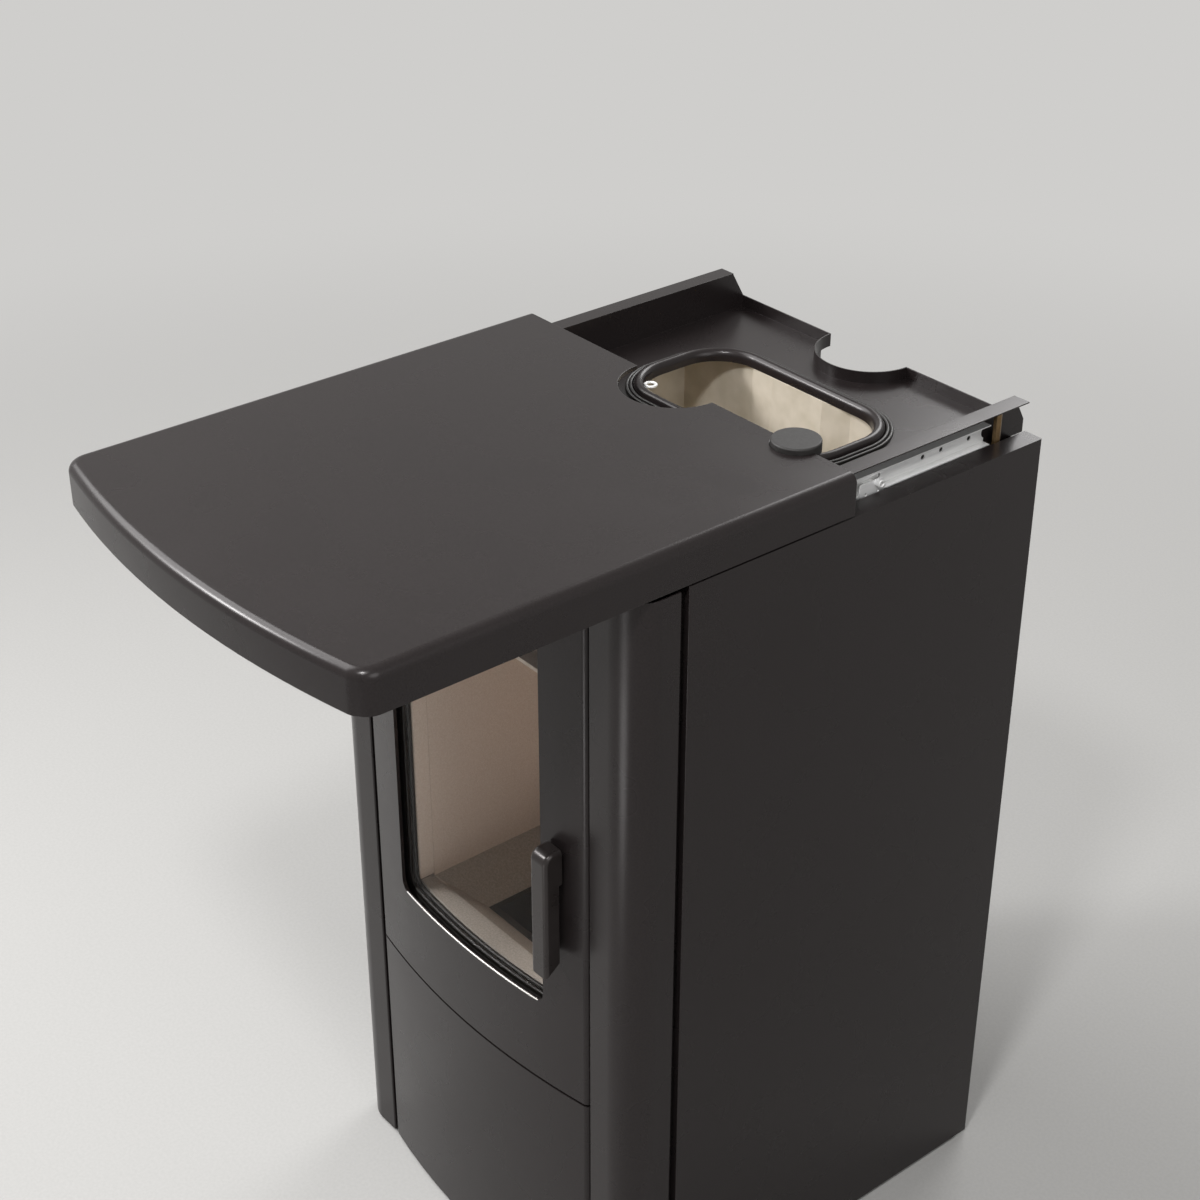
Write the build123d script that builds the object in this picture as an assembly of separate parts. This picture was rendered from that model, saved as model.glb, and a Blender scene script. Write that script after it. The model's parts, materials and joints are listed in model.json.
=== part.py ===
from build123d import *
from math import cos, radians, sin, sqrt
import os

# Pellet stove with a sliding lid, standing on the floor.
# Millimetres. X runs to the right as seen from the front, Y to the back, Z up.
# The origin is on the floor, under the middle of the side panels.

# ---- Casing -------------------------------------------------------------
casing_width = 500.0      # across the two side panels
panel_depth = 470.0       # side panel, front edge to back edge
panel_top = 935.0         # top of the side panels above the floor
floor_gap = 4.0           # panels, columns and lower door end this far above the floor
panel_sheet = 2.0         # sheet of the side panels
panel_flange = 23.0       # flange turned in at the top of a side panel
edge_flange = 18.0        # flanges turned in at its front and back
groove = 10.0             # shadow gap between side panel and column
column_width = 62.5       # front column, side face to door gap
column_depth = 56.0       # front column, front face to groove
column_corner = 35.0      # its rounded vertical corner
column_sheet = 2.0
column_bend = 1.9         # edge beside the door
column_lip = 12.0         # lips turned in at its two back edges
column_drop = 2.0         # its top, below the side panels' top
post_size = 25.0          # angle posts behind the grooves
post_sheet = 2.0
post_inset = 10.0         # post's outer face, in from the side face
bracket_sheet = 4.0       # hinge brackets, catches and keeper, fixed to the posts
bracket_room = 2.0        # these run this far behind the columns' lips

# ---- Base -----------------------------------------------------------------
base_level = 16.0         # underside of the base plate
base_sheet = 2.0
plinth_inset = 14.0       # plinth ring, in from the panels' outer faces
plinth_sheet = 2.0
foot_pad_radius = 17.0
foot_pad_height = 6.0
foot_stud_radius = 4.0
foot_stud_top = 34.0
foot_inset = 42.0         # foot centres, in from the plinth

# ---- Back -------------------------------------------------------------------
back_sheet = 1.5
back_lap = 15.0           # back panel laps this far behind the side panels' flanges
back_overhang = 15.0      # top pan's rear flange, behind the side panels
flue_x = -10.0            # flue axis, left of the middle
flue_radius = 50.0        # flue pipe and collar, outside
niche_clearance = 7.0     # round the flue pipe
niche_floor = 92.0
collar_wall = 1.5
collar_bend = 60.0        # bend radius of the elbow's centre line
collar_level = 150.0      # height of its horizontal leg
collar_top = 292.0
intake_radius = 25.0      # combustion-air pipe, outside
intake_wall = 1.5
intake_inset = 100.0      # its middle, in from the right side face
intake_level = 110.0
intake_inside = 22.0      # pipe in front of the back panel
intake_stands_out = 30.0
vent_inset = 100.0        # middle of each block of vents, in from the side face
vent_drop = 120.0         # lowest vent, below half the panels' height
vent_slots = 9
vent_pitch = 14.0
vent_length = 90.0
vent_height = 4.0
screw_head_radius = 4.0   # pan-head screws that hold the back panel
screw_head_height = 2.2
screw_radius = 2.0
screw_length = 9.0
screw_inset = 9.0         # in from the side face
screw_rows = 5
screw_end = 70.0          # first and last screw from the panel's ends

# ---- Mains inlet ---------------------------------------------------------------
inlet_inset = 90.0        # its middle, in from the left side face
inlet_level = 110.0
inlet_width = 48.0
inlet_height = 58.0
inlet_depth = 30.0
inlet_lip = 4.0           # face plate round the body
socket_width = 24.0
socket_height = 18.0
socket_depth = 17.0
pin_pitch = 7.0           # contact pins in the socket
pin_height = 4.0
pin_sheet = 2.0
rocker_width = 20.0
rocker_height = 13.0
rocker_lift = 14.0        # rocker's middle above the inlet's middle
rocker_gap = 0.4
rocker_tilt = 6.0         # degrees

# ---- Top pan and hopper mouth ----------------------------------------------
deck_drop = 10.0          # upper side of the deck, below the side panels' top
pan_sheet = 1.5
pan_front_gap = 39.0      # pan's front edge, behind the columns' front
pan_inset = 40.0          # inner face of its side walls, in from the side face
pan_wall_height = 43.5    # side walls above the deck
pan_flange = 20.0         # flange turned out along the top of each wall
rear_flange_height = 13.5
wall_chamfer = 16.0       # wall's rear end, from rear flange up to top flange
ledge_width = 14.0        # ledge beside each wall, level with the deck
ledge_back_gap = 107.0    # its rear end to the pan's back
mouth_length = 260.0      # hopper mouth, across the stove
mouth_depth = 138.0       # hopper mouth, front to back
mouth_corner = 50.0
mouth_back_gap = 104.0    # its rear edge to the pan's back
throat_wall = 1.0         # rim's sleeve through the deck
rim_width = 13.0          # rolled rim round the mouth
rim_height = 10.0
seal_width = 8.0
seal_height = 5.0
seal_gap = 0.3
post_radius = 4.3         # hexagonal posts under the flanges, corner to middle
post_setback = 52.0
post_foot = 16.0          # their feet under the deck, front to back
eyelet_hole = 4.5         # ring for the hopper grille's hook
eyelet_wall = 2.5
eyelet_sheet = 2.0

# ---- Hopper -----------------------------------------------------------------
hopper_sheet = 1.5
hopper_inset = 54.0       # inside of its side walls, in from the side face
hopper_front_gap = 55.0   # inside of its front wall, behind the firebox
hopper_back_gap = 100.0   # inside of its back wall, in front of the pan's back
bulge_depth = 18.0        # the back wall stands forward by this in front of the flue
bulge_flat = 38.0         # half the flat of the wall there
bulge_slope = 37.0        # run of the slanting walls beside it
funnel_drop = 225.0       # top of the funnel, below the deck
outlet_half = 24.0        # half the width of its outlet
outlet_depth = 90.0
outlet_back_gap = 30.0    # outlet's rear edge, in front of the auger tube's end
outlet_level = 485.0

# ---- Lid and slides ----------------------------------------------------------
lid_gap = 1.5             # lid above the side panels
lid_height = 43.5
lid_travel = 280.0
lid_rear_reach = 1.0      # lid closed, its rear edge behind the pan's back
lid_front_reach = 11.0    # and its front, ahead of the doors' crown
lid_crown = 28.0          # front edge bows out by this
lid_wall = 5.0
lid_corner = 24.0         # vertical front corners
lid_edge = 10.0           # rounded upper edge
slide_setback = 62.0      # fixed member's rear end to the pan's back
slide_front_room = 50.0   # and its front end to the pan's front
slide_drop = 3.5          # slides' lower edge, below the side panels' top
slide_height = 22.5
slide_depth = 10.0
slide_sheet = 1.2
slide_gap = 0.3
slide_wall_gap = 0.5      # fixed member to pan wall, taken up by the rivet bosses
slide_hole_radius = 2.6
middle_short = 12.0       # middle member ends this far before the fixed one
inner_short = 15.0        # inner member is this much shorter than the fixed one
inner_front_lead = 33.0   # inner member starts ahead of the fixed one, lid closed
lug_length = 33.0         # stop plate at the rear of the middle member
lug_drop = 3.5
lug_hole_radius = 1.6
rail_screw_radius = 2.5
arm_width = 24.0          # brackets between inner members and lid
arm_sheet = 2.0
arm_height = 16.0
knob_inset = 83.0         # knob's middle, in from the right side face
knob_radius = 25.0
knob_height = 12.0
knob_rise = 6.0           # knob's top above the lid
knob_edge = 2.0
knob_wall = 3.0           # wall of its pocket in the lid
knob_lug_radius = 17.0
knob_shaft_radius = 4.0
knob_shaft_length = 12.0

# ---- Doors ---------------------------------------------------------------------
door_gap = 2.5
front_crown = 19.0        # doors bow out by this in the middle
door_sheet = 4.0
door_return = 19.0        # edges turned back
door_edge = 8.0           # rounded vertical edges
door_drop = 5.0           # upper door's top, below the side panels' top
lower_door_gap = 1.0      # lower door's foot, above the panels' lower ends
seam_level = 309.0        # joint between the two doors
seam_gap = 3.0
window_side = 60.0        # window's edge, in from the door's edge
window_bottom = 413.0
window_drop = 62.0        # its upper edge, below the door's top
window_corner = 14.0
hinge_x = 11.0            # hinge axis, in from the door's left edge
hinge_y = 7.5             # hinge axis, behind the door's front edge line
hinge_pin_radius = 3.0
hinge_knuckle = 5.0
hinge_height = 12.0
pin_clearance = 0.05
ear_height = 5.0
leaf_start = 12.0         # hinge leaf, from the axis to the right
leaf_width = 14.0
hinge_end = 40.0          # hinge middle from the end of its door
striker_width = 26.0      # steel strip that the magnets hold
magnet_width = 14.0
magnet_height = 20.0
magnet_end = 60.0         # magnet's middle from the end of the lower door
glass_thickness = 4.0
glass_lap = 14.0
gasket_width = 8.0
gasket_thickness = 3.0
inner_frame_sheet = 3.0
inner_frame_lap = 8.0     # inner frame stands this far into the window
seal_room = 4.0           # back of the door to the firebox's face
rope_inset = 7.0          # rope seal, out from the window
rope_width = 8.0

# ---- Handle ---------------------------------------------------------------------
grip_inset = 25.0         # grip's right side, in from the door's edge
grip_width = 24.0
grip_depth = 18.0
grip_reach = 33.0         # grip's front, ahead of the columns' front
grip_bottom = 478.0
grip_taper = 14.0         # its lower end slopes back by this
grip_brow = 12.0          # rounding from its front over to its top
grip_edge = 4.5           # rounding down both sides
hub_height = 41.0         # arm from the grip's upper end back to the door
hub_level = 608.5
hub_gap = 1.0             # hub to door skin
handle_shaft_radius = 5.0
cam_sheet = 3.0
cam_wall = 2.4
cam_reach = 30.0
cam_height = 10.0
keeper_width = 12.0
keeper_height = 14.0
keeper_gap = 0.8          # cam above the keeper

# ---- Firebox ---------------------------------------------------------------------
chamber_inset = 102.0     # outside of its side walls, in from the side face
chamber_depth = 200.0
chamber_drop = 25.0       # its top, below the upper door's top
chamber_floor = 335.0     # between the firebox and the ash compartment
chamber_sheet = 3.0
face_width = 8.0          # front face ring, out from the chamber
face_lap = 6.0            # its opening, out from the window
lining = 20.0             # vermiculite panels
lining_setback = 6.0      # linings start this far behind the chamber's front
hearth_level = 410.0
hearth_edge = 6.0         # upright edge round the hearth's funnel
pot_half_x = 78.0
pot_setback = 45.0        # pot, behind the chamber's front
pot_length = 118.0        # front to back
pot_rim_level = 375.0
pot_depth = 48.0
pot_wall = 5.0
pot_lip = 3.0             # pot's rim rests this far on the hearth
pot_slope = 11.0          # its walls lean in by this
pot_hole_radius = 3.5
pot_hole_pitch_x = 14.0
pot_hole_pitch_y = 16.0
pot_room = 8.0            # hole in the chamber floor, round the pot
igniter_radius = 5.5
igniter_level = 352.0
igniter_tail = 24.0       # behind the firebox
igniter_gap = 2.0         # its tip to the pot
igniter_flange = 11.0     # radius of its flange
baffle_setback = 25.0     # baffle's front edge, behind the chamber's front
baffle_drop = 155.0       # and below its top
baffle_sheet = 6.0
baffle_fall = 10.0        # degrees, front edge lower
baffle_ledge = 8.0        # moulded on the side linings
slot_height = 60.0        # smoke outlet in the back lining
chute_half = 36.0
chute_height = 78.0
chute_sheet = 2.0
chute_rise = 6.0          # chute's top above the auger's mouth
chute_tail = 34.0         # chute behind the auger's mouth
chute_slope = 14.0        # its floor rises to the back by this
ash_pan_side = 30.0       # ash pan, wider than the pot on each side
ash_pan_end = 12.0        # room in front of it and behind it
ash_pan_depth = 90.0
ash_pan_drop = 25.0       # its rim, below the firebox floor
ash_pan_sheet = 2.0
ash_pan_lip = 8.0
rail_rise = 10.0          # rails' upright leaf

# ---- Auger -------------------------------------------------------------------------
auger_start_gap = 110.0   # motor end of its tube, in front of the side panels' back
auger_level = 424.0       # that end's height
auger_rise = 42.0
auger_end_gap = 4.0       # its mouth, behind the firebox
auger_radius = 30.0       # outside of its tube
auger_wall = 2.0
auger_cap = 3.0
auger_short = 12.0        # screw ends this far before the tube's mouth
flight_radius = 26.5
flight_pitch = 34.0
flight_sheet = 3.0
auger_shaft_radius = 7.0
auger_tail = 16.0         # shaft inside the motor
motor_radius = 31.0
motor_length = 56.0
motor_edge = 2.0

# ---- Control board --------------------------------------------------------------
board_setback = 195.0     # its middle, in front of the side panels' back
board_length = 150.0
board_level = 220.0
board_height = 108.0
board_sheet = 1.6
board_offset = 12.0       # board from the side panel
standoff_radius = 3.0
standoff_inset = 6.0
transformer = (22.0, 40.0, 34.0)  # depth, length, height
relay_block = (14.0, 50.0, 60.0)
component_inset = 14.0

# ---- Exhaust fan -------------------------------------------------------------------
fan_room = 115.0          # fan's axis behind the firebox
fan_level = 185.0
fan_radius = 72.0
fan_half = 43.0
fan_wall = 3.0
fan_outlet_length = 18.0  # round outlet behind the drum
outlet_narrow = 10.0      # outlet's radius is less than the flue's by this
wheel_radius = 60.0
wheel_blades = 12
blade_sheet = 2.0
blade_root = 26.0         # blades' inner ends
blade_offset = 14.0       # blades lean back by this
wheel_width = 32.0
wheel_gap = 4.0
wheel_eye = 18.0          # width of the ring that ties the blades
wheel_hub_radius = 10.0
wheel_hub_length = 18.0
fan_shaft_radius = 4.0
fan_shaft_tail = 20.0
fan_motor_radius = 38.0
fan_motor_length = 58.0
fan_motor_edge = 6.0
inlet_radius = 34.0
duct_sheet = 2.0
duct_inset = 38.0         # its near side, left of the middle
duct_margin = 26.0        # its far side, in from the chamber's side
duct_depth = 38.0
duct_drop = 45.0          # its top, below the chamber's top
duct_half = 45.0          # half the height and depth of its foot

parts = {}


# ---- Helpers -----------------------------------------------------------------------
def block(x0, x1, y0, y1, z0, z1):
    """A box between two corners."""
    box = Box(x1 - x0, y1 - y0, z1 - z0, align=(Align.MIN, Align.MIN, Align.MIN))
    return Pos(x0, y0, z0) * box


def rod(start, end, radius):
    """A round bar from one point to another."""
    start, end = Vector(*start), Vector(*end)
    axis = end - start
    bar = Cylinder(radius, axis.length, align=(Align.CENTER, Align.CENTER, Align.MIN))
    return Plane(origin=start, z_dir=axis) * bar


def pipe(start, end, radius, wall):
    """A round tube from one point to another."""
    return rod(start, end, radius) - rod(start, end, radius - wall)


def prism(points, z0, z1):
    """A straight-sided column over a plan outline."""
    face = make_face(Polyline(*points, close=True))
    return extrude(Pos(0, 0, z0) * face, z1 - z0)


def frustum(low, z0, high, z1):
    """A four-sided funnel between two rectangles, each half width, front and back."""
    faces = []
    for (x, front, back), z in ((low, z0), (high, z1)):
        outline = Polyline((-x, front), (x, front), (x, back), (-x, back), close=True)
        faces.append(Pos(0, 0, z) * make_face(outline))
    return loft(faces, ruled=True)


def slab(length, depth, corner, y, z0, z1):
    """A rounded rectangle in plan, centred on x = 0."""
    return extrude(Pos(0, y, z0) * RectangleRounded(length, depth, corner), z1 - z0)


def facing_front(z, y=0.0):
    """An upright plane that looks to the front, with X to the right."""
    return Plane(origin=(0, y, z), x_dir=(1, 0, 0), z_dir=(0, -1, 0))


def mirror_x(shape):
    return mirror(shape, about=Plane.YZ)


def save(node, *solids):
    """Keep the solids of one node."""
    parts[node] = Compound(children=[s for piece in solids for s in piece.solids()])


# ---- Places worked out from the sizes ------------------------------------------------
half = casing_width / 2
cutter = 2 * (casing_width + panel_top)
panel_front = -panel_depth / 2
panel_back = panel_depth / 2
base_top = base_level + base_sheet
column_back = panel_front - groove
column_front = column_back - column_depth
column_inner = half - column_width
column_top = panel_top - column_drop
post_inner = half - post_inset - post_sheet

deck_level = panel_top - deck_drop
pan_back = panel_back + back_overhang
pan_front = column_front + pan_front_gap
pan_wall_x = half - pan_inset
pan_wall_top = deck_level + pan_wall_height
rear_flange_top = deck_level + rear_flange_height
mouth_y = pan_back - mouth_back_gap - mouth_depth / 2
niche_radius = flue_radius + niche_clearance
intake_x = half - intake_inset
inlet_x = inlet_inset - half
rocker_level = inlet_level + rocker_lift

door_half = column_inner - door_gap
door_radius = (door_half**2 + front_crown**2) / (2 * front_crown)
door_axis_y = column_front - front_crown + door_radius
door_back = column_front + door_return
door_top = panel_top - door_drop
upper_door = (seam_level + seam_gap / 2, door_top)
lower_door = (floor_gap + lower_door_gap, seam_level - seam_gap / 2)
axis_x = -door_half + hinge_x
axis_y = column_front + hinge_y
bracket_y = door_back + column_lip + bracket_room
window_half = door_half - window_side
window_top = door_top - window_drop
glass_front = door_sheet + gasket_thickness
glass_back = glass_front + glass_thickness
rear_gasket = glass_back + gasket_thickness
grip_right = door_half - grip_inset
grip_x = grip_right - grip_width / 2
grip_front = column_front - grip_reach

chamber_half = half - chamber_inset
chamber_front = door_back + seal_room + chamber_sheet
chamber_back = chamber_front + chamber_depth
chamber_top = door_top - chamber_drop
lining_back_y = chamber_back - chamber_sheet - lining
pot_front = chamber_front + pot_setback
pot_back = pot_front + pot_length
baffle_front = chamber_front + baffle_setback
baffle_level = chamber_top - baffle_drop
fan_y = chamber_back + fan_room
fan_outlet_y = fan_y + fan_radius + fan_outlet_length
duct_x0 = duct_inset
duct_x1 = chamber_half - duct_margin
duct_top = chamber_top - duct_drop

auger_low = Vector(0, panel_back - auger_start_gap, auger_level)
auger_high = Vector(0, chamber_back + auger_end_gap, auger_level + auger_rise)
chute_top = auger_high.Z + auger_radius + chute_rise
chute_back = auger_high.Y + chute_tail

hopper_half = half - hopper_inset
hopper_front = chamber_back + hopper_front_gap
hopper_back = pan_back - hopper_back_gap
funnel_top = deck_level - funnel_drop
outlet_back = auger_low.Y - outlet_back_gap
outlet_front = outlet_back - outlet_depth

lid_bottom = panel_top + lid_gap
lid_top = lid_bottom + lid_height
lid_back = pan_back + lid_rear_reach - lid_travel
lid_front = column_front - front_crown - lid_front_reach - lid_travel
slide_back = pan_back - slide_setback
fixed_front = pan_front + slide_front_room
slide_length = slide_back - fixed_front
slide_bottom = panel_top - slide_drop
fixed_x = pan_wall_x + pan_sheet + slide_wall_gap
middle_x = fixed_x + slide_sheet * 2
inner_x = middle_x + slide_sheet * 2
knob_x = half - knob_inset


def front_face_y(x):
    """Where the doors' curved front lies at a given x."""
    return door_axis_y - sqrt(door_radius**2 - x**2)


# ---- Base ----------------------------------------------------------------------------
def make_base():
    plate = block(-half + panel_sheet, half - panel_sheet, column_back, panel_back - back_sheet,
                  base_level, base_top)
    plate += block(-column_inner, column_inner, door_back + column_lip, column_back, base_level,
                   base_top)
    ring_x = half - plinth_inset
    ring_back = panel_back - plinth_inset
    ring = block(-ring_x, ring_x, panel_front, ring_back, 0, base_level)
    ring -= block(-ring_x + plinth_sheet, ring_x - plinth_sheet, panel_front + plinth_sheet,
                  ring_back - plinth_sheet, 0, base_level)
    feet = []
    for x in (-ring_x + foot_inset, ring_x - foot_inset):
        for y in (panel_front + foot_inset, ring_back - foot_inset):
            plate -= rod((x, y, base_level), (x, y, base_top), foot_stud_radius)
            foot = rod((x, y, 0), (x, y, foot_pad_height), foot_pad_radius)
            foot = chamfer(foot.edges().group_by(Axis.Z)[-1], foot_pad_height / 3)
            feet.append(foot + rod((x, y, 0), (x, y, foot_stud_top), foot_stud_radius))
    save("base_plate", plate + ring)
    save("levelling_feet", *feet)


# ---- Side panels, columns and posts ------------------------------------------------------
def make_side_panel():
    under = panel_top - panel_sheet
    panel = block(half - panel_flange, half, panel_front, panel_back, floor_gap, panel_top)
    panel -= block(half - panel_flange, half - panel_sheet, panel_front + panel_sheet,
                   panel_back - panel_sheet, floor_gap, under)
    panel -= block(half - panel_flange, half - edge_flange, panel_front, panel_back, floor_gap,
                   under)
    panel -= block(half - panel_flange, half - panel_sheet, panel_front, panel_back, floor_gap,
                   base_top)
    for place in screw_places():
        panel -= rod(place, place - Vector(0, screw_length, 0), screw_radius + pin_clearance)
    corners = panel.edges().filter_by(Axis.Z).group_by(Axis.X)[-1]
    panel = fillet(corners, panel_sheet * 0.9)
    save("side_panel_right", panel)
    save("side_panel_left", mirror_x(panel))


def make_column():
    straight = half - column_corner
    bend = column_front + column_corner
    middle = column_corner * sqrt(0.5)
    outline = Polyline((straight, column_front), (column_inner, column_front),
                       (column_inner, column_back), (half, column_back), (half, bend))
    outline += ThreePointArc((half, bend), (straight + middle, bend - middle),
                             (straight, column_front))
    section = make_face(outline)
    column = extrude(Pos(0, 0, floor_gap) * section, column_top - floor_gap)
    hollow = offset(section, -column_sheet)
    column -= extrude(Pos(0, 0, floor_gap) * hollow, column_top - floor_gap)
    column -= block(column_inner, half - column_lip, column_back - column_sheet, column_back,
                    floor_gap, column_top)
    column -= block(column_inner, column_inner + column_sheet, door_back + column_lip, column_back,
                    floor_gap, column_top)
    beside_door = [e for e in column.edges().filter_by(Axis.Z)
                   if abs(e.center().X - column_inner) < 0.1
                   and abs(e.center().Y - column_front) < 0.1]
    column = fillet(beside_door, column_bend)
    save("column_right", column)
    save("column_left", mirror_x(column))


def make_post():
    outer = half - post_inset
    inner = outer - post_size
    back = column_back + post_size
    top = deck_level - pan_sheet
    post = block(inner, outer, column_back, back, base_top, top)
    post -= block(inner, post_inner, column_back + post_sheet, back, base_top, top)
    post -= block(post_inner, outer, panel_front, back, base_top, top)
    save("front_posts", post, mirror_x(post))


# ---- Back panel, flue collar, air intake, mains inlet ---------------------------------------
def screw_places():
    """Middles of the right-hand screw heads' undersides, on the panel's rear flange."""
    step = (panel_top - 2 * screw_end) / (screw_rows - 1)
    return [Vector(half - screw_inset, panel_back, screw_end + i * step)
            for i in range(screw_rows)]


def make_back_panel():
    front, back = panel_back - panel_sheet - back_sheet, panel_back - panel_sheet
    top = deck_level - pan_sheet
    side = half - edge_flange + back_lap
    panel = block(-side, side, front, back, base_top, top)
    low, high = (flue_x, pan_back, niche_floor), (flue_x, pan_back, top)
    niche = pipe(low, high, niche_radius + back_sheet, back_sheet)
    floor = rod(low, (flue_x, pan_back, niche_floor + back_sheet), niche_radius)
    panel -= rod(low, high, niche_radius)
    panel += (niche + floor) & block(-half, half, 0, back, 0, panel_top)
    panel -= rod((flue_x, fan_y, collar_level), (flue_x, cutter, collar_level), niche_radius)
    panel -= rod((intake_x, 0, intake_level), (intake_x, cutter, intake_level), intake_radius)
    vent_x = half - vent_inset
    vent = block(vent_x - vent_length / 2, vent_x + vent_length / 2, front, back, 0, vent_height)
    for i in range(vent_slots):
        slot = Pos(0, 0, panel_top / 2 - vent_drop + i * vent_pitch) * vent
        panel -= slot + mirror_x(slot)
    panel -= inlet_body()
    screws = []
    for place in screw_places():
        tip = place - Vector(0, screw_length, 0)
        screw = rod(place, place + Vector(0, screw_head_height, 0), screw_head_radius)
        screw = chamfer(screw.edges().group_by(Axis.Y)[-1], screw_head_height / 3)
        screw += rod(tip, place, screw_radius)
        hole = rod(tip, place, screw_radius + pin_clearance)
        panel -= hole + mirror_x(hole)
        screws += [screw, mirror_x(screw)]
    save("back_panel", panel)
    save("screws", *screws)


def inlet_body():
    """The mains inlet's body, which passes through the back panel."""
    return block(inlet_x - inlet_width / 2, inlet_x + inlet_width / 2, panel_back - inlet_depth,
                 panel_back - panel_sheet, inlet_level - inlet_height / 2,
                 inlet_level + inlet_height / 2)


def make_inlet():
    reach = inlet_width / 2 + inlet_lip
    rise = inlet_height / 2 + inlet_lip
    body = inlet_body() + block(inlet_x - reach, inlet_x + reach, panel_back - panel_sheet,
                                panel_back, inlet_level - rise, inlet_level + rise)
    socket_top = inlet_level - inlet_lip
    socket_mid = socket_top - socket_height / 2
    body -= block(inlet_x - socket_width / 2, inlet_x + socket_width / 2,
                  panel_back - socket_depth, panel_back, socket_top - socket_height, socket_top)
    for x in (-pin_pitch, 0, pin_pitch):
        body += block(inlet_x + x - pin_sheet / 2, inlet_x + x + pin_sheet / 2,
                      panel_back - socket_depth, panel_back - inlet_lip,
                      socket_mid - pin_height / 2, socket_mid + pin_height / 2)
    well_x = rocker_width / 2 + rocker_gap
    well_z = rocker_height / 2 + rocker_gap
    body -= block(inlet_x - well_x, inlet_x + well_x, panel_back - rocker_height, panel_back,
                  rocker_level - well_z, rocker_level + well_z)
    save("mains_inlet", body)
    thick = rocker_height / 2
    rocker = Box(rocker_width, thick, rocker_height - 2.0)
    rocker = fillet(rocker.edges().filter_by(Axis.X).group_by(Axis.Y)[-1], thick * 0.3)
    save("mains_rocker", Pos(inlet_x, panel_back - 3.0, rocker_level) * Rot(rocker_tilt, 0, 0)
         * rocker)


def make_flue_collar():
    start = Vector(flue_x, fan_outlet_y, collar_level)
    turn = Vector(flue_x, pan_back - collar_bend, collar_level)
    rise = Vector(flue_x, pan_back, collar_level + collar_bend)
    end = Vector(flue_x, pan_back, collar_top)
    mid = Vector(flue_x, turn.Y + collar_bend * sin(radians(45)),
                 rise.Z - collar_bend * cos(radians(45)))
    solids = []
    for radius in (flue_radius, flue_radius - collar_wall):
        arc = ThreePointArc(turn, mid, rise)
        bend = sweep(Plane(origin=turn, z_dir=(0, 1, 0)) * Circle(radius), path=arc)
        solids.append(rod(start, turn, radius) + bend + rod(rise, end, radius))
    flange = pipe(start, start + Vector(0, fan_wall, 0), flue_radius + outlet_narrow,
                  outlet_narrow)
    save("flue_collar", solids[0] - solids[1] + flange)


def make_intake():
    y_face = panel_back - panel_sheet
    inside, outside = y_face - intake_inside, panel_back + intake_stands_out
    tube = pipe((intake_x, inside, intake_level), (intake_x, outside, intake_level),
                intake_radius, intake_wall)
    flange = pipe((intake_x, y_face, intake_level), (intake_x, panel_back, intake_level),
                  intake_radius * 1.4, intake_radius * 0.4)
    save("air_intake", tube + flange)


# ---- Top pan, hopper mouth ---------------------------------------------------------------------
def mouth(grow, z0, z1):
    """The hopper mouth's rounded outline, grown outwards, as a slab."""
    return slab(mouth_length + 2 * grow, mouth_depth + 2 * grow, mouth_corner + grow, mouth_y, z0,
                z1)


def make_top_pan():
    wall_out = pan_wall_x + pan_sheet
    deck_under = deck_level - pan_sheet
    pan = block(-wall_out, wall_out, pan_front, pan_back, deck_under, deck_level)
    pan += block(-wall_out, wall_out, pan_back - pan_sheet, pan_back, deck_level, rear_flange_top)
    wall = block(pan_wall_x, wall_out, pan_front, pan_back, deck_under, pan_wall_top)
    wall += block(pan_wall_x, pan_wall_x + pan_flange, pan_front, pan_back,
                  pan_wall_top - pan_sheet, pan_wall_top)
    slope = prism([(pan_back - wall_chamfer, pan_wall_top + 1), (pan_back + 1, pan_wall_top + 1),
                   (pan_back + 1, rear_flange_top), (pan_back, rear_flange_top),
                   (pan_back - wall_chamfer, pan_wall_top - pan_sheet)], 0, cutter)
    wall -= Plane.YZ * slope
    wall += block(pan_wall_x, wall_out + ledge_width, pan_front, pan_back - ledge_back_gap,
                  deck_under, deck_level)
    pan += wall + mirror_x(wall)
    flue = rod((flue_x, pan_back, 0), (flue_x, pan_back, cutter), niche_radius)
    lip = rod((flue_x, pan_back, deck_under), (flue_x, pan_back, rear_flange_top),
              niche_radius + pan_sheet)
    lip &= block(-half, half, 0, pan_back, 0, cutter)
    pan = pan + lip - flue
    save("top_pan", pan - mouth(throat_wall, deck_under, deck_level))
    x = pan_wall_x + pan_flange - post_radius * 2
    y = pan_back - post_setback
    post = extrude(Pos(x, y, deck_under) * RegularPolygon(post_radius, 6),
                   pan_wall_top - pan_sheet - deck_under)
    post += block(pan_wall_x - post_foot / 2, x, y - post_foot / 2, y + post_foot / 2,
                  deck_under - arm_sheet, deck_under)
    save("flange_posts", post, mirror_x(post))


def make_mouth():
    inside = mouth(0, 0, cutter)
    rim = mouth(rim_width, deck_level, deck_level + rim_height)
    rim = fillet(rim.edges().group_by(Axis.Z)[-1], rim_height * 0.55)
    rim += mouth(throat_wall, deck_level - pan_sheet - hopper_sheet, deck_level)
    rim -= inside
    lean = eyelet_hole + eyelet_wall / 2
    along = mouth_corner - (mouth_corner - lean) * sqrt(0.5)
    x, y = along - mouth_length / 2, along + mouth_y - mouth_depth / 2
    eyelet = rod((x, y, deck_level), (x, y, deck_level + eyelet_sheet), eyelet_hole + eyelet_wall)
    eyelet &= inside
    hole = rod((x, y, 0), (x, y, cutter), eyelet_hole)
    save("hopper_rim", rim + (eyelet - hole))
    inner = rim_width + seal_gap
    seal = mouth(inner + seal_width, deck_level, deck_level + seal_height)
    seal = chamfer(seal.edges().group_by(Axis.Z)[-1], seal_height * 0.4)
    save("hopper_seal", seal - mouth(inner, deck_level, cutter))


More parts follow.
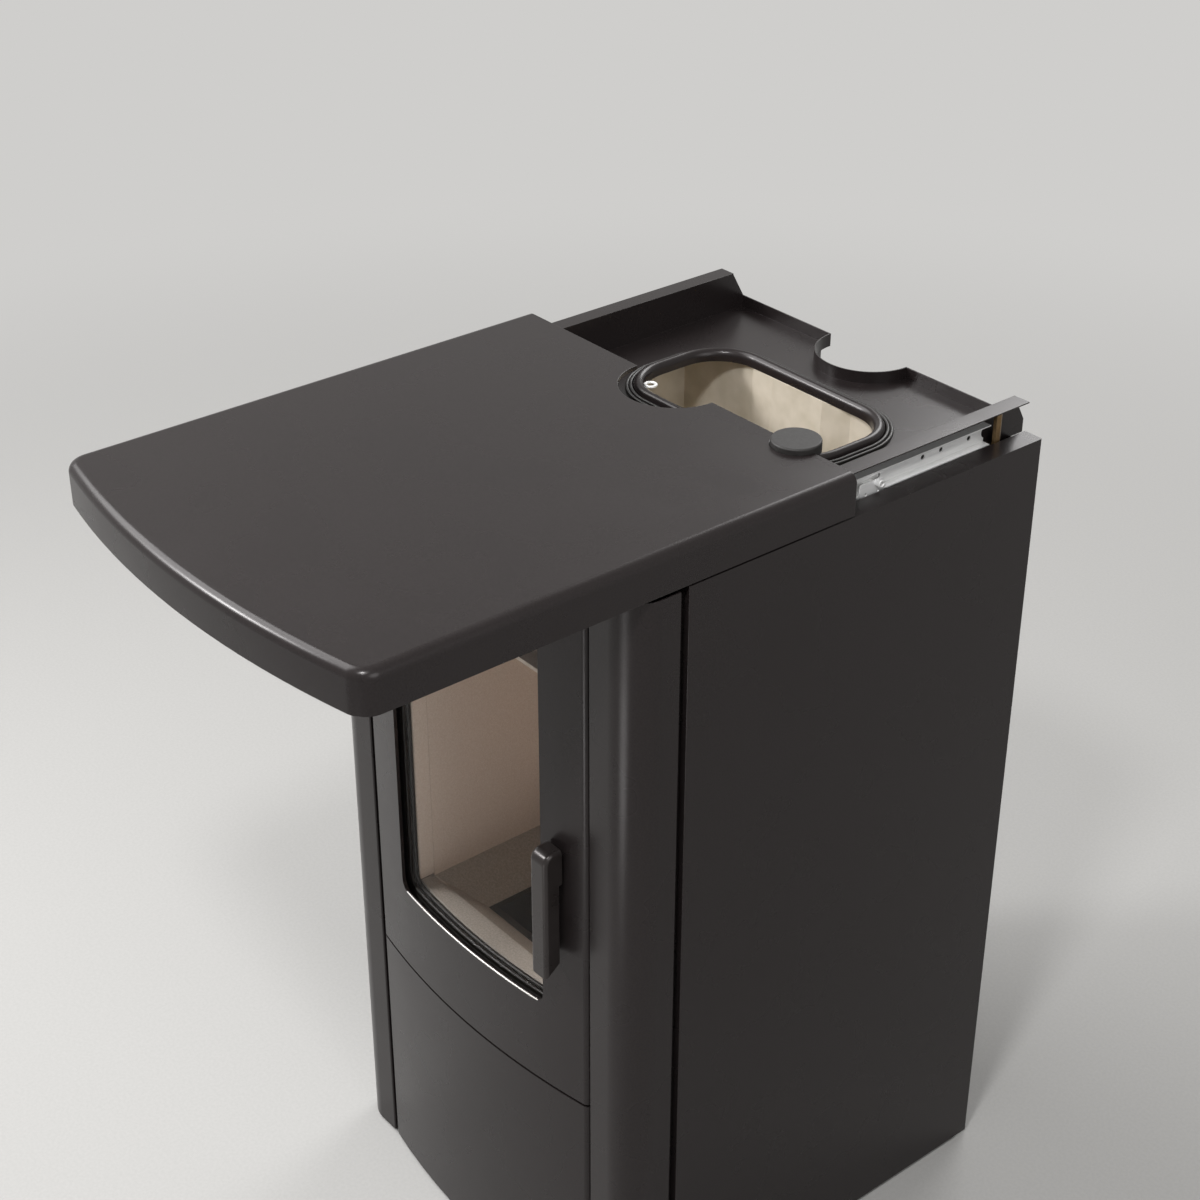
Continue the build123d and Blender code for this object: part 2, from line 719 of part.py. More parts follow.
def hopper_body(grow):
    """The hopper's shaft and funnel, hollowed at the back for the flue niche."""
    x, front, back = hopper_half + grow, hopper_front - grow, hopper_back + grow
    top = deck_level - pan_sheet - hopper_sheet
    body = block(-x, x, front, back, funnel_top, top)
    low = (outlet_half + grow, outlet_front - grow, outlet_back + grow)
    body += frustum(low, outlet_level, (x, front, back), funnel_top)
    face = hopper_back - bulge_depth + grow
    run = back + hopper_sheet - face
    flat = bulge_flat - grow / 2
    wide = flat + run * bulge_slope / bulge_depth
    return body - prism([(flue_x - flat, face), (flue_x + flat, face), (flue_x + wide, face + run),
                         (flue_x - wide, face + run)], 0, top)


def make_hopper():
    hopper = hopper_body(hopper_sheet) - hopper_body(0.0)
    x, front, back = hopper_half, hopper_front, hopper_back
    top = deck_level - pan_sheet
    cover = block(-x - hopper_sheet, x + hopper_sheet, front - hopper_sheet, back + hopper_sheet,
                  top - hopper_sheet, top)
    save("hopper", hopper + (cover - mouth(throat_wall, 0, cutter)))


# ---- Slides and lid ---------------------------------------------------------------------------
def channel(x0, y0, y1, z0, z1):
    """A C-section member that opens outwards."""
    body = block(x0, fixed_x + slide_depth, y0, y1, z0, z1)
    return body - block(x0 + slide_sheet, fixed_x + slide_depth, y0, y1, z0 + slide_sheet,
                        z1 - slide_sheet)


def make_slides():
    z0, z1 = slide_bottom, slide_bottom + slide_height
    mid_z = (z0 + z1) / 2
    step = slide_sheet + slide_gap
    fixed = channel(fixed_x, fixed_front, slide_back, z0, z1)
    for share in (0.055, 0.155, 0.22, 0.375, 0.575, 0.775):
        y = slide_back - slide_length * share
        fixed -= rod((fixed_x - 5, y, mid_z), (fixed_x + 3, y, mid_z), slide_hole_radius)
    for share in (0.10, 0.47, 0.9):
        y = slide_back - slide_length * share
        fixed += rod((pan_wall_x + pan_sheet, y, mid_z), (fixed_x + slide_sheet, y, mid_z),
                     rail_screw_radius)
    bite = rod((fixed_x - 1, slide_back + 3, mid_z), (fixed_x + slide_sheet, slide_back + 3, mid_z),
               slide_height * 0.3)
    fixed -= bite
    save("slide_fixed_right", fixed)
    save("slide_fixed_left", mirror_x(fixed))
    y0 = fixed_front - lid_travel / 2
    y1 = slide_back - middle_short - lid_travel / 2
    middle = channel(middle_x, y0, y1, z0 + step, z1 - step)
    lug_x = fixed_x + slide_depth + slide_gap
    lug = block(lug_x, lug_x + slide_sheet, y1 - lug_length, y1, z0 - lug_drop, mid_z + 4)
    upright = lug.edges().filter_by(Axis.X)
    lug = fillet(upright, 3.0)
    lug += block(middle_x, lug_x, y1 - lug_length * 0.7, y1 - lug_length * 0.3, mid_z - 1.5,
                 mid_z + 1.5)
    for share in (0.25, 0.75):
        y = y1 - lug_length * share
        lug -= rod((lug_x - 1, y, z0 + 3), (lug_x + 3, y, z0 + 3), lug_hole_radius)
    middle += lug
    save("slide_middle_right", middle)
    save("slide_middle_left", mirror_x(middle))
    inner_y0 = fixed_front - inner_front_lead - lid_travel
    inner_length = slide_length - inner_short
    inner = channel(inner_x, inner_y0, inner_y0 + inner_length, z0 + 2 * step, z1 - 2 * step)
    save("slide_inner_right", inner)
    save("slide_inner_left", mirror_x(inner))
    brackets = []
    web_x, lid_x = inner_x + slide_sheet, half - lid_wall
    low = z0 + slide_sheet + 2 * step + slide_gap
    high = z0 + z1 - low
    for share in (0.12, 0.85):
        y0 = inner_y0 + inner_length * share - arm_width / 2
        y1 = y0 + arm_width
        arm = block(web_x, lid_x, y0, y1, low, low + arm_sheet)
        arm += block(web_x, web_x + arm_sheet, y0, y1, low, high)
        arm += block(lid_x - arm_sheet, lid_x, y0, y1, low, low + arm_height)
        brackets += [arm, mirror_x(arm)]
    save("lid_brackets", *brackets)


def lid_block(shrink, corner, z0, z1):
    """Lid outline in plan as a slab; the front edge bows out."""
    side = half - shrink
    front = lid_front + shrink
    shoulder = front + lid_crown
    outline = Polyline((-side, shoulder), (-side, lid_back), (side, lid_back), (side, shoulder))
    outline += ThreePointArc((side, shoulder), (0, front), (-side, shoulder))
    body = extrude(Pos(0, 0, z0) * make_face(outline), z1 - z0)
    return fillet(body.edges().filter_by(Axis.Z).group_by(Axis.Y)[0], corner)


def make_lid():
    shell = lid_block(0, lid_corner, lid_bottom, lid_top)
    upper = [e for e in shell.edges().group_by(Axis.Z)[-1] if e.center().Y < lid_back - 1]
    shell = fillet(upper, lid_edge)
    under = lid_top - lid_wall
    shell -= lid_block(lid_wall, lid_corner - lid_wall, lid_bottom, under)
    shell -= rod((flue_x, lid_back, 0), (flue_x, lid_back, cutter), niche_radius)

    def at_knob(z0, z1, radius):
        return rod((knob_x, lid_back, z0), (knob_x, lid_back, z1), radius)

    seat_level = lid_top + knob_rise - knob_height
    shell += at_knob(seat_level - lid_wall, seat_level, knob_lug_radius)
    skirt = at_knob(seat_level - lid_wall, lid_top, knob_radius + knob_wall)
    shell += skirt & block(0, half, lid_back - knob_radius * 2, lid_back, 0, cutter)
    shell -= at_knob(seat_level, cutter, knob_radius + slide_gap)
    save("lid", shell - at_knob(0, cutter, knob_shaft_radius + pin_clearance))
    disc = at_knob(seat_level + slide_gap, lid_top + knob_rise, knob_radius)
    disc = fillet(disc.edges().group_by(Axis.Z)[-1], knob_edge)
    save("knob", disc + at_knob(seat_level - knob_shaft_length, seat_level + slide_gap,
                                knob_shaft_radius))


# ---- Doors ---------------------------------------------------------------------------------------
def door_block(shrink, z0, z1):
    """A door's outline in plan, curved in front, as a slab; shrink moves its faces inwards."""
    side = door_half - shrink
    radius = door_radius - shrink
    edge_y = door_axis_y - sqrt(radius**2 - side**2)
    outline = Polyline((-side, edge_y), (-side, door_back), (side, door_back), (side, edge_y))
    outline += ThreePointArc((side, edge_y), (0, door_axis_y - radius), (-side, edge_y))
    body = extrude(Pos(0, 0, z0) * make_face(outline), z1 - z0)
    upright = [e for e in body.edges().filter_by(Axis.Z) if e.center().Y < door_back - 1]
    return fillet(upright, door_edge - shrink)


def door_pan(z0, z1):
    """The curved sheet pan of one door: front, returned edges, open at the back."""
    return door_block(0, z0, z1) - door_block(door_sheet, z0 + door_sheet, z1 - door_sheet)


def window(grow, y0, y1):
    """A bar through the window opening, from y0 forward to y1."""
    height = window_top - window_bottom + 2 * grow
    face = RectangleRounded(2 * (window_half + grow), height, window_corner + grow)
    level = (window_top + window_bottom) / 2
    return extrude(facing_front(level, y0) * face, y0 - y1)


def curved_pane(depth0, depth1):
    """A plate behind the window that follows the doors' curve, between two depths."""
    low, high = (0, door_axis_y, 0), (0, door_axis_y, cutter)
    shell = rod(low, high, door_radius - depth0) - rod(low, high, door_radius - depth1)
    return shell & window(glass_lap, 0, door_front)


def hinge_levels(door):
    return [door[0] + hinge_end, door[1] - hinge_end]


def hinge_relief(z):
    """Room cut in a door's left return for the fixed knuckle's arm."""
    tall = hinge_height / 2 + ear_height + 1
    return block(-door_half - 1, -door_half + door_sheet + 1, axis_y - 4, door_back + 1,
                 z - tall, z + tall)


def hinge_ears(z, plate_y):
    """Two ears of a door, above and below the fixed knuckle, with their pin holes."""
    ears = None
    inner = hinge_height / 2 + slide_gap
    x0, x1 = axis_x + leaf_start, axis_x + leaf_start + leaf_width
    front, back = axis_y - hinge_knuckle, axis_y + hinge_knuckle
    for z0 in (z + inner, z - inner - ear_height):
        z1 = z0 + ear_height
        ear = rod((axis_x, axis_y, z0), (axis_x, axis_y, z1), hinge_knuckle)
        ear += block(axis_x, x1, front, back, z0, z1)
        ear += block(x0, x1, front, plate_y, z0, z1)
        ear -= rod((axis_x, axis_y, 0), (axis_x, axis_y, cutter), hinge_pin_radius)
        ears = ear if ears is None else ears + ear
    return ears


def hinge_pins(levels):
    reach = hinge_height / 2 + slide_gap + ear_height
    return [rod((axis_x, axis_y, z - reach), (axis_x, axis_y, z + reach), hinge_pin_radius)
            for z in levels]


def hinge_bracket(z):
    """Fixed knuckle on an arm that reaches out of the left column."""
    z0, z1 = z - hinge_height / 2, z + hinge_height / 2
    arm_back = bracket_y + bracket_sheet
    arm = rod((axis_x, axis_y, z0), (axis_x, axis_y, z1), hinge_knuckle)
    arm += block(axis_x - 2, axis_x + bracket_sheet, axis_y, arm_back, z0, z1)
    arm += block(-post_inner, axis_x + bracket_sheet, bracket_y, arm_back, z0, z1)
    arm += block(-post_inner, -post_inner + bracket_sheet, bracket_y, column_back, z0, z1)
    return arm - rod((axis_x, axis_y, z0), (axis_x, axis_y, z1), hinge_pin_radius + pin_clearance)


def post_bracket(x0, z0, z1):
    """A plate behind the right column's lip, from x0 to the post, and its leg on the post."""
    plate = block(x0, post_inner, bracket_y, bracket_y + bracket_sheet, z0, z1)
    return plate + block(post_inner - bracket_sheet, post_inner, bracket_y, column_back, z0, z1)


door_front = column_front - 2 * front_crown - grip_reach


def make_door():
    shaft_hole = rod((grip_x, 0, hub_level), (grip_x, door_front, hub_level),
                     handle_shaft_radius + pin_clearance)
    skin = door_pan(*upper_door) - window(0, 0, door_front) - shaft_hole
    for z in hinge_levels(upper_door):
        skin -= hinge_relief(z)
    save("door_skin", skin)
    save("door_glass", curved_pane(glass_front, glass_back))
    inside = window(glass_lap - gasket_width, 0, door_front)
    save("glass_gaskets", curved_pane(door_sheet, glass_front) - inside,
         curved_pane(glass_back, rear_gasket) - inside)
    save("door_hinge_pins", *hinge_pins(hinge_levels(upper_door)))
    make_inner_frame(shaft_hole)


def make_inner_frame(shaft_hole):
    """Flat plate at the back of the door with a curved well that clamps the glass."""
    plate_y = door_back - inner_frame_sheet
    frame = block(axis_x + leaf_start, door_half - door_sheet - 1, plate_y, door_back,
                  upper_door[0] + door_sheet, upper_door[1] - door_sheet)
    frame -= window(glass_lap - inner_frame_lap, 0, door_front)
    well = window(glass_lap, door_back, door_front)
    well -= window(glass_lap - gasket_width, door_back, door_front)
    frame += well & rod((0, door_axis_y, 0), (0, door_axis_y, cutter), door_radius - rear_gasket)
    for z in hinge_levels(upper_door):
        frame += hinge_ears(z, plate_y)
    save("door_inner_frame", frame - shaft_hole)
    face_y = chamber_front - chamber_sheet - slide_gap
    save("door_rope_seal", window(rope_inset + rope_width, face_y, door_back)
         - window(rope_inset, face_y, door_back))


def make_handle():
    x0, x1 = grip_right - grip_width, grip_right
    back = grip_front + grip_depth
    hub_back = front_face_y(grip_x - hub_height / 2) - hub_gap
    low, high = hub_level - hub_height / 2, hub_level + hub_height / 2
    grip = Plane.YZ * prism([(grip_front, grip_bottom), (back, grip_bottom + grip_taper),
                             (back, low), (hub_back, low), (hub_back, high),
                             (grip_front, high)], x0, x1)
    brow = grip.edges().filter_by(Axis.X).group_by(Axis.Z)[-1].sort_by(Axis.Y)[0]
    grip = fillet(brow, grip_brow)
    ridges = [e for e in grip.edges().filter_by(Axis.X, reverse=True)
              if e.center().Y < back and e.center().Z > grip_bottom + grip_taper
              or e.center().Z > high - 1]
    grip = fillet(ridges, grip_edge)
    cam_y0, cam_y1 = door_back + slide_gap, door_back + slide_gap + cam_sheet
    shaft = rod((grip_x, hub_back, hub_level), (grip_x, cam_y1, hub_level), handle_shaft_radius)
    save("door_handle", grip + shaft)
    cam = rod((grip_x, cam_y0, hub_level), (grip_x, cam_y1, hub_level),
              handle_shaft_radius + cam_wall)
    cam += block(grip_x, grip_x + cam_reach, cam_y0, cam_y1, hub_level - cam_height / 2,
                 hub_level + cam_height / 2)
    save("latch_cam", cam - rod((grip_x, cam_y0, hub_level), (grip_x, cam_y1, hub_level),
                                handle_shaft_radius))


def make_keeper():
    """Hook on the right post that the cam swings behind when the grip is pressed home."""
    z1 = hub_level - cam_height / 2 - keeper_gap
    z0 = z1 - keeper_height
    x1 = grip_x + cam_reach + 1
    keeper = block(x1 - keeper_width, x1, door_back + slide_gap, bracket_y + bracket_sheet, z0, z1)
    save("latch_keeper", keeper + post_bracket(x1 - keeper_width, z0, z1))


def make_lower_door():
    skin = door_pan(*lower_door)
    plate_y = door_back - inner_frame_sheet
    z0, z1 = lower_door[0] + door_sheet, lower_door[1] - door_sheet
    leaf_x = axis_x + leaf_start
    stiffener = block(leaf_x, leaf_x + leaf_width, plate_y, door_back, z0, z1)
    for z in hinge_levels(lower_door):
        skin -= hinge_relief(z)
        stiffener += hinge_ears(z, plate_y)
    edge_x = door_half - door_sheet
    striker = block(edge_x - striker_width, edge_x, plate_y, door_back, z0, z1)
    save("lower_door", skin + stiffener + striker)
    save("lower_door_hinge_pins", *hinge_pins(hinge_levels(lower_door)))
    levels = hinge_levels(lower_door) + hinge_levels(upper_door)
    save("hinge_brackets", *[hinge_bracket(z) for z in levels])
    magnets = []
    x0 = edge_x - striker_width + door_sheet * 1.5
    for middle in (lower_door[0] + magnet_end, lower_door[1] - magnet_end):
        low, high = middle - magnet_height / 2, middle + magnet_height / 2
        catch = block(x0, x0 + magnet_width, door_back + slide_gap, bracket_y, low, high)
        magnets.append(catch + post_bracket(x0, low, high))
    save("magnet_catches", *magnets)


# ---- Firebox ---------------------------------------------------------------------------------------
def smoke_slot(y0, y1):
    """The smoke outlet at the top of the firebox's back."""
    return block(-duct_x1, -duct_x0, y0, y1, duct_top - slot_height, duct_top - duct_sheet)


def chute_bar():
    """The pellet chute's outside, from the auger's mouth through the chamber wall."""
    return block(-chute_half, chute_half, lining_back_y, chute_back, chute_top - chute_height,
                 chute_top)


def make_chamber():
    s = chamber_sheet
    x, y0, y1 = chamber_half, chamber_front, chamber_back
    shell = block(-x, x, y0, y1, base_top, chamber_top)
    shell -= block(-x + s, x - s, y0, y1 - s, chamber_floor + s, chamber_top - s)
    shell -= block(-x + s, x - s, y0, y1 - s, base_top, chamber_floor)
    face = block(-x - face_width, x + face_width, y0 - s, y0, chamber_floor, chamber_top)
    shell += face - window(face_lap, y0, y0 - s)
    shell -= chute_bar() + smoke_slot(y1 - s, y1)
    shell -= block(-pot_half_x - pot_room, pot_half_x + pot_room, pot_front - pot_room,
                   pot_back + pot_room, chamber_floor, chamber_floor + s)
    low, high = (0, y1 - s, igniter_level), (0, y1, igniter_level)
    save("fire_chamber", shell - rod(low, high, igniter_radius + pin_clearance))


def make_linings():
    y1 = chamber_back - chamber_sheet
    top = chamber_top - chamber_sheet
    x1 = chamber_half - chamber_sheet
    x0 = x1 - lining
    back = block(-x0, x0, lining_back_y, y1, hearth_level, top)
    save("lining_back", back - chute_bar() - smoke_slot(lining_back_y, y1))
    reach = (lining_back_y - baffle_front) / cos(radians(baffle_fall)) - baffle_sheet
    tilt = Pos(0, baffle_front, baffle_level) * Rot(baffle_fall, 0, 0)
    save("baffle", tilt * block(-x0, x0, 0, reach, 0, baffle_sheet))
    ledge = tilt * block(x0 - baffle_ledge, x0, 0, reach * 0.9, -baffle_ledge, 0)
    side = block(x0, x1, chamber_front + lining_setback, y1, hearth_level, top) + ledge
    save("lining_right", side)
    save("lining_left", mirror_x(side))


def make_hearth():
    x, y0, y1 = chamber_half - chamber_sheet, chamber_front, chamber_back - chamber_sheet
    edge = hearth_edge
    rim, top = pot_rim_level, hearth_level
    step = pot_wall
    outer = frustum((pot_half_x + edge, pot_front - edge, pot_back + edge), rim, (x, y0, y1),
                    top - edge)
    outer += block(-x, x, y0, y1, top - edge, top)
    outer += block(-pot_half_x - edge, pot_half_x + edge, pot_front - edge, pot_back + edge,
                   rim - step - pot_lip, rim)
    hearth = outer - frustum((pot_half_x, pot_front, pot_back), rim,
                             (x - lining, y0 + edge, y1 - lining), top)
    hearth -= block(-pot_half_x, pot_half_x, pot_front, pot_back, rim - step, rim)
    hearth -= block(-pot_half_x + pot_lip, pot_half_x - pot_lip, pot_front + pot_lip,
                    pot_back - pot_lip, 0, rim)
    sill_x = window_half - window_corner
    hearth += block(-sill_x, sill_x, y0 - chamber_sheet, y0, window_bottom - face_lap, top)
    save("hearth", hearth)


def make_pot():
    rim, floor = pot_rim_level, pot_rim_level - pot_wall - pot_depth
    gap = slide_gap
    inset = pot_lip + gap
    x, y0, y1 = pot_half_x - inset, pot_front + inset, pot_back - inset
    pot = block(-x, x, y0, y1, floor, rim)
    pot += block(-pot_half_x + gap, pot_half_x - gap, pot_front + gap, pot_back - gap,
                 rim - pot_wall, rim)
    low = (x - pot_wall - pot_slope, y0 + pot_wall + pot_slope, y1 - pot_wall - pot_slope)
    pot -= frustum(low, floor + pot_wall, (x - pot_wall, y0 + pot_wall, y1 - pot_wall), rim)
    for i in range(-3, 4):
        for j in range(-1, 2):
            hole_x, hole_y = i * pot_hole_pitch_x, (y0 + y1) / 2 + j * pot_hole_pitch_y
            pot -= rod((hole_x, hole_y, floor), (hole_x, hole_y, floor + pot_wall),
                       pot_hole_radius)
    back = (0, (y0 + y1) / 2, igniter_level)
    save("burn_pot", pot - rod(back, (0, y1, igniter_level), igniter_radius + 1))
    tip = (0, y1 + igniter_gap, igniter_level)
    tail = (0, chamber_back + igniter_tail, igniter_level)
    plate = pipe((0, chamber_back, igniter_level), (0, chamber_back + 2, igniter_level),
                 igniter_flange, igniter_flange - igniter_radius)
    save("igniter", rod(tip, tail, igniter_radius) + plate)


def make_ash_pan():
    x = pot_half_x + ash_pan_side
    y0, y1 = chamber_front + ash_pan_end, chamber_back - ash_pan_end
    z1 = chamber_floor - ash_pan_drop
    s = ash_pan_sheet
    inside = block(-x + s, x - s, y0 + s, y1 - s, z1 - ash_pan_depth + s, z1)
    pan = block(-x, x, y0, y1, z1 - ash_pan_depth, z1)
    pan += block(-x - ash_pan_lip, x + ash_pan_lip, y0 - ash_pan_lip / 2, y1 + ash_pan_lip / 2,
                 z1 - s, z1)
    save("ash_pan", pan - inside)
    wall = chamber_half - chamber_sheet
    rail = block(x + slide_gap, wall, y0, y1, z1 - 2 * s, z1 - s)
    rail += block(wall - s, wall, y0, y1, z1 - 2 * s, z1 + rail_rise)
    save("ash_pan_rails", rail, mirror_x(rail))


# ---- Pellet feed -------------------------------------------------------------------------------------
def make_feed():
    low, high = auger_low, auger_high
    along = (high - low).normalized()
    tube = rod(low, high, auger_radius)
    wall = hopper_sheet
    foot = auger_level + auger_wall * 5
    body = tube + block(-outlet_half - wall, outlet_half + wall, outlet_front - wall,
                        outlet_back + wall, foot, outlet_level)
    body -= rod(low, high, auger_radius - auger_wall)
    body -= block(-outlet_half, outlet_half, outlet_front, outlet_back, foot, outlet_level)
    inner = low + along * auger_cap
    body += rod(low, inner, auger_radius) - rod(low, inner, auger_shaft_radius + pin_clearance)
    save("auger_tube", body)
    s = chute_sheet
    y0, y1 = lining_back_y, chute_back - s
    z0, z1 = chute_top - chute_height + s, chute_top - s
    inside = Plane.YZ * prism([(y0, z0), (y0 + chute_slope / 2, z0), (y1, z0 + chute_slope),
                               (y1, z1), (y0, z1)], -chute_half + s, chute_half - s)
    save("pellet_chute", chute_bar() - inside - tube)
    make_auger(low, high, along)


def make_auger(low, high, along):
    start = low + along * (auger_cap + slide_gap)
    length = (high - start).length - auger_short
    turns = int(length / flight_pitch)
    shaft = Cylinder(auger_shaft_radius, length, align=(Align.CENTER, Align.CENTER, Align.MIN))
    helix = Helix(flight_pitch, turns * flight_pitch, auger_shaft_radius)
    depth = flight_radius - auger_shaft_radius
    start_face = Plane(origin=helix @ 0, x_dir=(1, 0, 0), z_dir=helix % 0)
    profile = start_face * Pos(depth / 2 - 0.5, 0) * Rectangle(depth + 1, flight_sheet)
    flight = sweep(profile, path=helix, binormal=Edge.make_line((0, 0, 0), (0, 0, 10)))
    screw = shaft + Pos(0, 0, flight_sheet) * flight
    screw += rod((0, 0, -auger_cap - slide_gap - auger_tail), (0, 0, 0), auger_shaft_radius)
    save("auger", Plane(origin=start, x_dir=(1, 0, 0), z_dir=along) * screw)
    motor = rod(low, low - along * motor_length, motor_radius)
    motor = chamfer(motor.edges().filter_by(GeomType.CIRCLE), motor_edge)
    bore_end = low - along * (auger_tail + auger_cap + 1)
    save("auger_motor", motor - rod(low, bore_end, auger_shaft_radius + pin_clearance))


# ---- Exhaust side -----------------------------------------------------------------------------------
def along_fan(x0, x1, radius):
    """A round bar on the fan's axis."""
    return rod((x0, fan_y, fan_level), (x1, fan_y, fan_level), radius)


def make_exhaust():
    x0, x1 = flue_x - fan_half, flue_x + fan_half
    outlet_radius = flue_radius - outlet_narrow
    start, end = (flue_x, fan_y, collar_level), (flue_x, fan_outlet_y, collar_level)
    housing = along_fan(x0, x1, fan_radius)
    housing += rod((flue_x, fan_y + fan_radius / 2, collar_level), end, outlet_radius)
    housing += rod((flue_x, fan_outlet_y - fan_wall, collar_level), end,
                   flue_radius + outlet_narrow)
    passage = rod(start, end, outlet_radius - fan_wall)
    in_drum = block(x0 + fan_wall, x1 - fan_wall, 0, fan_outlet_y, 0, cutter)
    behind = block(-half, half, fan_y + fan_radius + fan_wall, fan_outlet_y, 0, cutter)
    housing -= along_fan(x0 + fan_wall, x1 - fan_wall, fan_radius - fan_wall)
    housing -= (passage & in_drum) + (passage & behind)
    housing -= along_fan(x0, x0 + fan_wall, inlet_radius)
    housing -= along_fan(x1 - fan_wall, x1, fan_shaft_radius + pin_clearance)
    save("exhaust_fan_housing", housing)
    wheel_x1 = x1 - fan_wall - wheel_gap
    wheel_x0 = wheel_x1 - wheel_width
    wheel = along_fan(wheel_x1 - blade_sheet, wheel_x1, wheel_radius)
    wheel += along_fan(wheel_x1 - wheel_hub_length, wheel_x1, wheel_hub_radius)
    blade = block(wheel_x0, wheel_x1, blade_offset - blade_sheet / 2,
                  blade_offset + blade_sheet / 2, blade_root, wheel_radius)
    for i in range(wheel_blades):
        wheel += Pos(0, fan_y, fan_level) * Rot(360 / wheel_blades * i, 0, 0) * blade
    wheel &= along_fan(wheel_x0, wheel_x1, wheel_radius)
    wheel += pipe((wheel_x0, fan_y, fan_level), (wheel_x0 + blade_sheet, fan_y, fan_level),
                  wheel_radius, wheel_eye)
    wheel += along_fan(wheel_x1, x1 + fan_shaft_tail, fan_shaft_radius)
    save("exhaust_fan_wheel", wheel)
    motor = along_fan(x1, x1 + fan_motor_length, fan_motor_radius)
    motor = chamfer(motor.edges().group_by(Axis.X)[-1], fan_motor_edge)
    bore = along_fan(x1, x1 + fan_shaft_tail * 1.2, fan_shaft_radius + pin_clearance)
    save("exhaust_fan_motor", motor - bore)


def make_duct():
    """Smoke duct down the back of the chamber and across to the fan inlet."""
    s = duct_sheet
    x_inlet = flue_x - fan_half
    y0, y1 = chamber_back, chamber_back + duct_depth
    z0, z1 = fan_level - duct_half, fan_level + duct_half
    y_end = fan_y + duct_half
    duct = block(-duct_x1, -duct_x0, y0, y1, z0, duct_top)
    duct += block(-duct_x1, x_inlet, y0, y_end, z0, z1)
    duct -= block(-duct_x1 + s, -duct_x0 - s, y0 + s, y1 - s, z0 + s, duct_top - s)
    duct -= block(-duct_x1 + s, x_inlet - s, y0 + s, y_end - s, z0 + s, z1 - s)
    duct -= along_fan(x_inlet - s, x_inlet, inlet_radius)
    mouth_bar = block(-duct_x1 + s, -duct_x0 - s, y0, y0 + s, duct_top - slot_height, duct_top - s)
    save("smoke_duct", duct - mouth_bar)


# ---- Control ------------------------------------------------------------------------------------------
def make_controls():
    """Circuit board on stand-offs on the right side panel."""
    wall = half - panel_sheet
    x0 = wall - board_offset
    x_face = x0 - board_sheet
    y_mid = panel_back - board_setback
    y0, y1 = y_mid - board_length / 2, y_mid + board_length / 2
    z0, z1 = board_level, board_level + board_height
    board = block(x_face, x0, y0, y1, z0, z1)
    for y in (y0 + standoff_inset, y1 - standoff_inset):
        for z in (z0 + standoff_inset, z1 - standoff_inset):
            board += rod((x0, y, z), (wall, y, z), standoff_radius)
    deep, long, tall = transformer
    low = z0 + component_inset
    board += block(x_face - deep, x_face, y0 + component_inset, y0 + component_inset + long, low,
                   low + tall)
    deep, long, tall = relay_block
    board += block(x_face - deep, x_face, y1 - component_inset - long, y1 - component_inset, low,
                   low + tall)
    save("control_board", board)


make_base()
make_side_panel()
make_column()
make_post()
make_back_panel()
make_inlet()
make_flue_collar()
make_intake()
make_top_pan()
make_mouth()
make_hopper()
make_slides()
make_lid()
make_door()
make_handle()
make_keeper()
make_lower_door()
make_chamber()
make_linings()
make_hearth()
make_pot()
make_ash_pan()
make_feed()
make_exhaust()
make_duct()
make_controls()

os.makedirs("parts", exist_ok=True)
for node, shape in parts.items():
    export_step(shape, f"parts/{node}.step")
    print(node, len(shape.solids()))
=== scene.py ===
# %% [markdown]
# A pellet stove stands on the floor with its lid drawn forward over the door, so that the
# hopper can be filled. This notebook dresses the stove: the construction comes from the packed
# frame, and each cell below gives one piece or one finish the look of the real one.

import json
from math import cos, pi, radians, sin, sqrt

import bmesh
import bpy
from mathutils import Matrix, Vector


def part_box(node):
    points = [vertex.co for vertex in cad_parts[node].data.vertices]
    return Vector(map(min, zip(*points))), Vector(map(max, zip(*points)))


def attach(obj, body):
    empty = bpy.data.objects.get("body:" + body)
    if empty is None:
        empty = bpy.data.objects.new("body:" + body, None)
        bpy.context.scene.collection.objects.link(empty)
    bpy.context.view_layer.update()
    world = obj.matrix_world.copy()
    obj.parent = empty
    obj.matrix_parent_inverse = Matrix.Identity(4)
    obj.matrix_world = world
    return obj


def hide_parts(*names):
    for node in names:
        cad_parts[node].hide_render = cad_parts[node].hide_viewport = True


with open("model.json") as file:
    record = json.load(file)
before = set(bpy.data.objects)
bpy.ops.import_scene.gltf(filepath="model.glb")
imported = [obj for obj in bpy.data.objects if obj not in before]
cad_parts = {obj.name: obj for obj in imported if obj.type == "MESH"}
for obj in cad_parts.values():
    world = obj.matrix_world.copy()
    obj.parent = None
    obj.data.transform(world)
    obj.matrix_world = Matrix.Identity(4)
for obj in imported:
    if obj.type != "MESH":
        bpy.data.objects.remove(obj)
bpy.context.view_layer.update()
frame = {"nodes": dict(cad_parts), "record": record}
nodes = frame["nodes"]
mm = 0.001
print("nodes in the frame:", len(nodes))

# %% [markdown]
# The camera stands to the front right of the stove and above it, looking down by thirty
# degrees. A longish lens keeps the casing's edges nearly parallel. Its two turns are in degrees,
# and the lens and the film are in millimetres, as photographers give them.

# %% Camera
camera_place = Vector((1.5220, -1.3795, 1.9202))
camera_turn = 50.7
camera_down = 30.3
camera_lens = 66.7
film_width = 36.0

camera_data = bpy.data.cameras.new("camera")
camera_data.lens = camera_lens
camera_data.sensor_fit = "HORIZONTAL"
camera_data.sensor_width = film_width
camera = bpy.data.objects.new("camera", camera_data)
camera.location = camera_place
camera.rotation_euler = (radians(90 - camera_down), 0, radians(camera_turn))
bpy.context.scene.collection.objects.link(camera)
bpy.context.scene.camera = camera
bpy.context.scene.view_settings.view_transform = "Standard"
print("camera lens", camera_lens, "mm")


